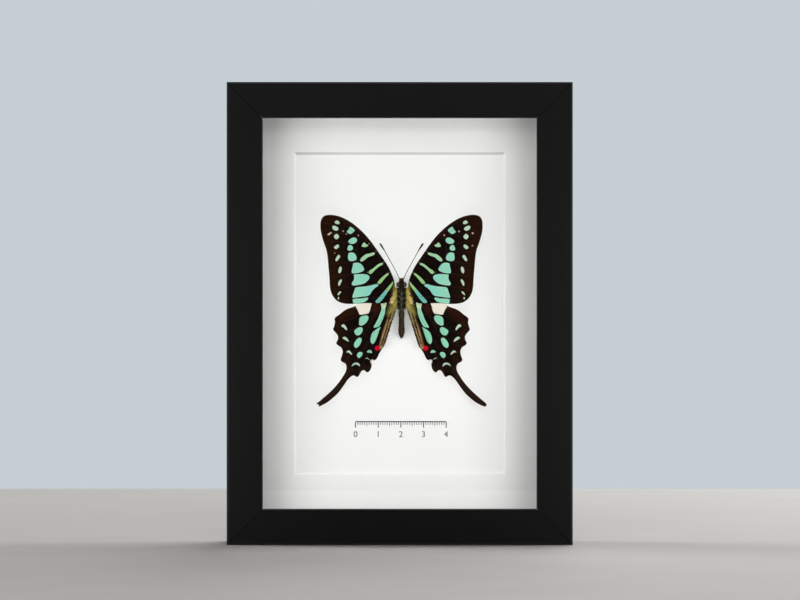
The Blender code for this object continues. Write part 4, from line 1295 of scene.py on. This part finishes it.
def grow_tuft(first, last, way_first, way_last, length, count, tint_first, tint_last, thick):
    """Roots, ways, lengths and tints of one row of hair, in the butterfly's own frame."""
    share = rng.random(count)[:, None]
    scatter = rng.normal(0, thick, (count, 3)) * (1, 0.35, 1)
    roots = np.array(first) * (1 - share) + np.array(last) * share + scatter
    ways = np.array(way_first) * (1 - share) + np.array(way_last) * share + rng.normal(0, 0.16, (count, 3))
    lengths = length * rng.uniform(0.55, 1.15, count)
    bright = rng.uniform(0.35, 1.45, (count, 1))
    tints = (np.array(tint_first) * (1 - share) + np.array(tint_last) * share) * bright
    return roots, ways, lengths, tints


hair = hair_finish()
for key, side in SIDES.items():
    grown = [np.concatenate(parts) for parts in zip(*(grow_tuft(*tuft) for tuft in TUFTS))]
    hairs(f"wing_root_hair_{key}", side, *grown, 0.05, hair)


# %% Hair on the thorax, the head and the abdomen
def coat(name, stations, reach, arc, length, count, backward, tint_of, radius=0.045):
    """Hair standing on a body part.

    Formula: a root is a point of the part's ellipses at a random place within `reach` and angle
    within `arc`; its way is the outward normal plus `backward` times the way to the tail.
    """
    along, angle = rng.uniform(*reach, count), rng.uniform(*np.radians(arc), count)
    wide, deep, height = at_station(stations, along)
    roots = np.stack([wide * np.cos(angle), height + deep * np.sin(angle), along], axis=-1)
    normal = np.stack([np.cos(angle), np.sin(angle), np.zeros(count)], axis=-1)
    ways = normal + np.array([0, 0, -backward]) + rng.normal(0, 0.22, (count, 3))
    tints = tint_of(roots) * rng.uniform(0.4, 1.7, (count, 1))
    lengths = length * rng.uniform(0.5, 1.2, count)
    hairs(name, 1, roots - 0.08 * normal, ways, lengths, tints, radius, hair)


def thorax_tint(roots):
    """Dark olive-brown, grey-green down the middle and golden on the flanks."""
    off = np.abs(roots[:, :1])
    stripe, flank = smoothstep(off, 0.55, 0.2), smoothstep(off, 1.35, 1.95)
    clump = np.sin(2.7 * roots[:, 2:] + 2 * np.sin(3.1 * roots[:, :1])) * np.cos(3.9 * roots[:, :1] + 0.6)
    tint = np.array(linear(22, 18, 10)) * (1 - 0.5 * stripe) + np.array(linear(104, 110, 100)) * 0.5 * stripe
    tint = tint + np.array(linear(150, 146, 118)) * smoothstep(clump, 0.55, 0.95)
    return tint * (1 - flank) + np.array(linear(120, 100, 40)) * flank


def plain_tint(*screen):
    """The same colour for every hair, given as a screen colour."""
    return lambda roots: np.tile(linear(*screen), (len(roots), 1))


def ring_tint(roots):
    """Dark brown, with a paler patch on each ring and greyer towards the thorax."""
    beat = np.sin(2 * np.pi * roots[:, 2:] / RING_SPACING) * np.cos(3.1 * roots[:, :1])
    pale, front = smoothstep(beat, 0.1, 0.8), smoothstep(roots[:, 2:], -7.5, -4.2)
    tint = np.array(linear(34, 24, 14)) * (1 - pale) + np.array(linear(140, 120, 84)) * pale
    return tint * (1 - 0.5 * front) + np.array(linear(90, 82, 64)) * 0.5 * front


coat("thorax_hair", THORAX_STATIONS, (-3.8, 4.9), (5, 175), 1.0, 1900, 1.9, thorax_tint, 0.055)
coat("abdomen_hair", ABDOMEN_STATIONS, (-16.6, -4.4), (-20, 200), 0.36, 1500, 2.6, ring_tint, 0.045)
coat("collar_hair", THORAX_STATIONS, (4.4, 5.4), (-10, 190), 0.8, 420, 0.2, plain_tint(40, 26, 16))
coat("head_hair", HEAD_STATIONS, (5.6, 8.8), (50, 130), 0.5, 420, -0.9, plain_tint(36, 22, 12))
coat("palp_hair", HEAD_STATIONS, (8.2, 9.3), (0, 360), 0.7, 420, -2.0, plain_tint(78, 60, 38))

# %% [markdown]
# ## Glue
#
# A drop of amber glue holds the thorax to the card. It spread and set as a low uneven dome.

# %% Glue
GLUE_PROFILE = [(0.0, 1.18), (0.25, 1.22), (0.5, 1.12), (0.68, 0.85), (0.76, 0.5), (0.79, 0.15)]


def amber_glue():
    """Clear hardened glue with a few cloudy places."""
    finish, tree, shader = new_finish("amber_glue", {"Transmission Weight": 0.5, "IOR": 1.5})
    cloud = speckle(tree, place(tree), 1.2, detail=3.0)
    feed(tree, shader, base_color=colour_mix(tree, cloud, linear(206, 164, 84), linear(232, 204, 140)))
    feed(tree, shader, roughness=spread(tree, cloud, 0.3, 0.7, 0.08, 0.3))
    relief(tree, shader, cloud, 0.3, 0.1)
    return finish


glue_low, glue_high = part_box("glue_dab")
glue_along = ((glue_low.z + glue_high.z) / 2 - origin[2]) / MM
height, radius = smooth_curve(GLUE_PROFILE, 4, closed=False).T[:, :, None]
angle = np.linspace(0, 2 * np.pi, 40, endpoint=False)[None]
uneven = radius * (1 + 0.02 * np.sin(3 * angle + 1) + 0.015 * np.sin(5 * angle))
dome = on_card(uneven * np.cos(angle), height, glue_along + uneven * np.sin(angle))
points, faces = closed_tube(dome)
add_piece("glue_dab_set", points, faces, amber_glue(), ["glue_dab"])

# %% [markdown]
# ## A printed scale
#
# The card's lower part carries a line of print. Here it is a plain millimetre scale: long strokes at
# the centimetres, short ones between, and a number under each long one. Print has no thickness to
# speak of, so the strokes are flat sheets of ink a hair above the card.

# %% Ink
SCALE_LENGTH = 40
SCALE_HEIGHTS = {10: 2.4, 5: 1.8, 1: 1.2}
SCALE_TOP, NUMBER_BASE = 53.0, 46.4
NUMBER_SIZE = 3.8
SCALE_MIDDLE = 0.5
INK_LIFT = 0.02
LONG_STROKE, SHORT_STROKE, RULE_THICKNESS = 0.44, 0.30, 0.45


def printers_ink():
    """Dark grey ink, thinner where the card's tooth let it skip."""
    finish, tree, shader = new_finish("printers_ink", {"Specular IOR Level": 0.2, "Roughness": 0.7})
    tooth = speckle(tree, place(tree), 5.0, detail=4.0)
    skipped = spread(tree, tooth, 0.35, 0.75)
    feed(tree, shader, base_color=colour_mix(tree, skipped, linear(14, 14, 16), linear(40, 40, 42)))
    return finish


def on_card_face(across, up):
    """Points on the card's face from millimetres across the frame's middle and above its foot."""
    return np.stack([across * MM, np.full(len(across), card_face - INK_LIFT * MM), up * MM], axis=-1)


marks_at = np.arange(SCALE_LENGTH + 1)
tall = np.select([marks_at % 10 == 0, marks_at % 5 == 0], [SCALE_HEIGHTS[10], SCALE_HEIGHTS[5]],
                 SCALE_HEIGHTS[1])
half_width = np.where(marks_at % 10 == 0, LONG_STROKE, SHORT_STROKE) / 2
middle = marks_at - SCALE_LENGTH / 2 + SCALE_MIDDLE
left_edge, right_edge = middle - half_width, middle + half_width
corners_across = np.stack([left_edge, right_edge, right_edge, left_edge], axis=-1).ravel()
corners_up = SCALE_TOP - np.stack([tall, tall, 0 * tall, 0 * tall], axis=-1).ravel()
strokes = np.arange(4 * len(marks_at)).reshape(-1, 4)
rule_across = np.array([-1, 1, 1, -1]) * SCALE_LENGTH / 2 + SCALE_MIDDLE
rule_up = SCALE_TOP + np.array([0, 0, RULE_THICKNESS, RULE_THICKNESS])
ink = printers_ink()
points = on_card_face(np.append(corners_across, rule_across), np.append(corners_up, rule_up))
faces = [*strokes, 4 * len(marks_at) + np.arange(4)]
add_piece("scale_strokes", points, faces, ink)

# %% Numbers under the scale
def number(value, across):
    """A plain numeral, made a mesh and then laid on the card face."""
    text = bpy.data.curves.new(f"number_{value}", "FONT")
    text.body = str(value)
    text.size = NUMBER_SIZE
    text.align_x = "CENTER"
    drawn = bpy.data.objects.new(f"number_{value}", text)
    shape = bpy.data.meshes.new_from_object(drawn)
    flat = np.zeros(3 * len(shape.vertices), dtype=np.float32)
    shape.vertices.foreach_get("co", flat)
    flat = flat.reshape(-1, 3)
    faces = [tuple(face.vertices) for face in shape.polygons]
    bpy.data.objects.remove(drawn)
    points = on_card_face(flat[:, 0] + across, flat[:, 1] + NUMBER_BASE)
    add_piece(f"scale_number_{value}", points, faces, ink)


for value in range(SCALE_LENGTH // 10 + 1):
    number(value, 10 * value - SCALE_LENGTH / 2 + SCALE_MIDDLE)

# %% [markdown]
# ## Behind the card
#
# A board of pressed wood fibre closes the back. Eight spring-steel tabs, pushed into the rails, bend
# over it, and a small plate with an arched slot hangs the frame from a nail. Two screws hold the plate.

# %% Fibreboard
def fibreboard():
    """Pressed brown wood fibre: short crossed strands, darker flecks, a faint sheen."""
    finish, tree, shader = new_finish("fibreboard", {"Specular IOR Level": 0.25, "Roughness": 0.72})
    where = place(tree)
    bend = put(tree, "TexNoise", {"Vector": where, "Scale": 0.12, "Detail": 2.0}).outputs["Color"]
    bent = put(tree, "Mix", {0: 0.1, 4: where, 5: bend}, data_type="VECTOR").outputs[1]
    strand = speckle(tree, put(tree, "Mapping", {"Vector": bent, "Scale": (1.2, 1, 0.25)}).outputs[0], 1.4,
                     detail=6.0, rough=0.7)
    cross = speckle(tree, place(tree, (0.3, 1.0, 1.3)), 1.2, detail=6.0, rough=0.7)
    cloud = speckle(tree, place(tree), 0.035, detail=3.0)
    tone = maths(tree, "ADD", maths(tree, "MULTIPLY", strand, 0.5), maths(tree, "MULTIPLY", cross, 0.5))
    brown = colour_mix(tree, spread(tree, tone, 0.35, 0.65), linear(92, 62, 38), linear(158, 120, 80))
    brown = colour_mix(tree, spread(tree, cloud, 0.3, 0.7, 0.0, 0.5), brown, (0.8, 0.76, 0.7), "MULTIPLY")
    fleck = speckle(tree, where, 2.4, detail=2.0)
    brown = colour_mix(tree, spread(tree, fleck, 0.68, 0.78, 0.0, 0.7), brown, linear(58, 38, 24))
    feed(tree, shader, base_color=brown)
    relief(tree, shader, tone, 0.5, 0.15)
    return finish


dress("back_board", fibreboard())

# %% Steel of the tabs, the plate and the screws
def zinced_steel(name, drawn_along, rough=0.34):
    """Zinc-plated steel: fine drawing lines, cloudy zinc and small dull stains."""
    sockets = {"Metallic": 1.0, "Specular IOR Level": 0.5}
    finish, tree, shader = new_finish(name, sockets)
    lines = speckle(tree, place(tree, drawn_along), 1.0, detail=4.0, rough=0.6)
    cloud = speckle(tree, place(tree), 0.5, detail=4.0)
    stain = spread(tree, speckle(tree, place(tree), 0.9, detail=5.0, rough=0.7), 0.6, 0.75, 0.0, 0.6)
    zinc = colour_mix(tree, cloud, (0.46, 0.47, 0.48), (0.62, 0.62, 0.61))
    feed(tree, shader, base_color=colour_mix(tree, stain, zinc, (0.30, 0.28, 0.25)))
    shine = maths(tree, "ADD", spread(tree, lines, 0.3, 0.7, rough - 0.06, rough + 0.08),
                   maths(tree, "MULTIPLY", stain, 0.3))
    feed(tree, shader, roughness=shine)
    relief(tree, shader, lines, 0.3, 0.03)
    return finish


# %% Bent tabs
TAB_WIDTH, TAB_ROOT, TAB_SPRING = 7.0, 4.0, 1.1


def tab(node, finish):
    """One tab: a flat strip that rises a little from the board and comes down to a round nose.

    Formula: point (u, v) = (u along the reach, v times the half width, lift), where the half width
    over the last stretch r before the end is sqrt(r² - (u - end + r)²), and
    lift = spring * sin(half turn of the share from the root to the end).
    """
    tab_low, tab_high = (np.array(corner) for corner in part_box(node))
    middle, span = (tab_low + tab_high) / 2, tab_high - tab_low
    reach_axis, width_axis = (2, 0) if abs(span[0] / MM - TAB_WIDTH) < 0.01 else (0, 2)
    centre = np.array([0.0, 0.0, middle_z])
    inward = np.sign(centre[reach_axis] - middle[reach_axis])
    reach = span[reach_axis]
    half = TAB_WIDTH / 2 * MM
    u = np.concatenate([np.linspace(0, reach - half, 18, endpoint=False),
                        reach - half * np.cos(np.linspace(np.pi / 2, 0.02, 14))])[:, None]
    past = np.clip(u - (reach - half), 0, None)
    wide = np.sqrt(np.maximum(half ** 2 - past ** 2, (0.01 * half) ** 2))
    v = np.linspace(-1, 1, 13)[None]
    lift = TAB_SPRING * MM * np.sin(np.pi * smoothstep(u, TAB_ROOT * MM, reach))
    points = np.zeros((len(u), v.shape[1], 3))
    start = tab_low[reach_axis] if inward > 0 else tab_high[reach_axis]
    points[..., reach_axis] = start + inward * u
    points[..., width_axis] = middle[width_axis] + wide * v
    points[..., 1] = middle[1] + lift
    flat = points.reshape(-1, 3)
    faces = grid_faces(len(u), v.shape[1])
    first = flat[faces[0]]
    if np.cross(first[1] - first[0], first[2] - first[0])[1] < 0:
        faces = faces[:, ::-1]
    made = add_piece(f"{node}_bent", flat, faces, finish, [node])
    sheet = made.modifiers.new("sheet", "SOLIDIFY")
    sheet.thickness = span[1]
    sheet.offset = 0.0


tab_steel = {"upright": zinced_steel("tab_steel_upright", (4.0, 1.0, 0.2)),
             "level": zinced_steel("tab_steel_level", (0.2, 1.0, 4.0))}
for side in ("bottom", "top", "left", "right"):
    for letter in ("a", "b"):
        tab(f"tab_{side}_{letter}", tab_steel["upright" if side in ("bottom", "top") else "level"])

# %% Hanging plate and its screws
dress("hanging_plate", zinced_steel("plate_steel", (0.2, 1.0, 4.0), rough=0.28))
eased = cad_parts["hanging_plate"].modifiers.new("eased_edges", "BEVEL")
eased.width = 0.2 * MM
eased.segments = 2
eased.limit_method = "ANGLE"

SCREW_RADIUS, SCREW_RISE, CROSS_WIDTH, CROSS_REACH, CROSS_DEPTH = 2.6, 1.4, 0.42, 1.5, 0.9


def screw_head(node, finish, turn):
    """A pan head with a cross-shaped recess.

    Formula: the head's rise at radius r is rise * (1 - (r / radius)^4)^(1/2); from it the recess takes
    depth * cross, where cross falls from 1 to 0 at half the slot's width from either slot's line and
    at its reach from the middle.
    """
    box_low, box_high = (np.array(corner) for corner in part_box(node))
    middle = (box_low + box_high) / 2
    reach = SCREW_RADIUS * np.sin(np.linspace(0.02, np.pi / 2, 34))[:, None]
    angle = np.linspace(0, 2 * np.pi, 96, endpoint=False)[None]
    x, z = reach * np.cos(angle), reach * np.sin(angle)
    slot_x = np.abs(x * np.cos(turn) + z * np.sin(turn))
    slot_z = np.abs(-x * np.sin(turn) + z * np.cos(turn))
    near = smoothstep(np.minimum(slot_x, slot_z), CROSS_WIDTH, CROSS_WIDTH - 0.14)
    cross = near * smoothstep(reach, CROSS_REACH, CROSS_REACH - 0.5)
    rise = SCREW_RISE * np.sqrt(np.clip(1 - (reach / SCREW_RADIUS) ** 4, 0, 1)) - CROSS_DEPTH * cross
    foot = box_high[1] - SCREW_RISE * MM
    rings = np.stack([middle[0] + x * MM, foot + rise * MM, middle[2] + z * MM], axis=-1)
    base = rings[-1:].copy()
    base[..., 1] = foot - 0.1 * MM
    points, faces = closed_tube(np.concatenate([rings, base]))
    add_piece(f"{node}_pan_head", points, faces, finish, [node], sharp=50)


screw_steel = zinced_steel("screw_steel", (1.0, 1.0, 1.0), rough=0.26)
for key, turn in (("left", 0.4), ("right", 1.1)):
    screw_head(f"plate_screw_{key}", screw_steel, turn)
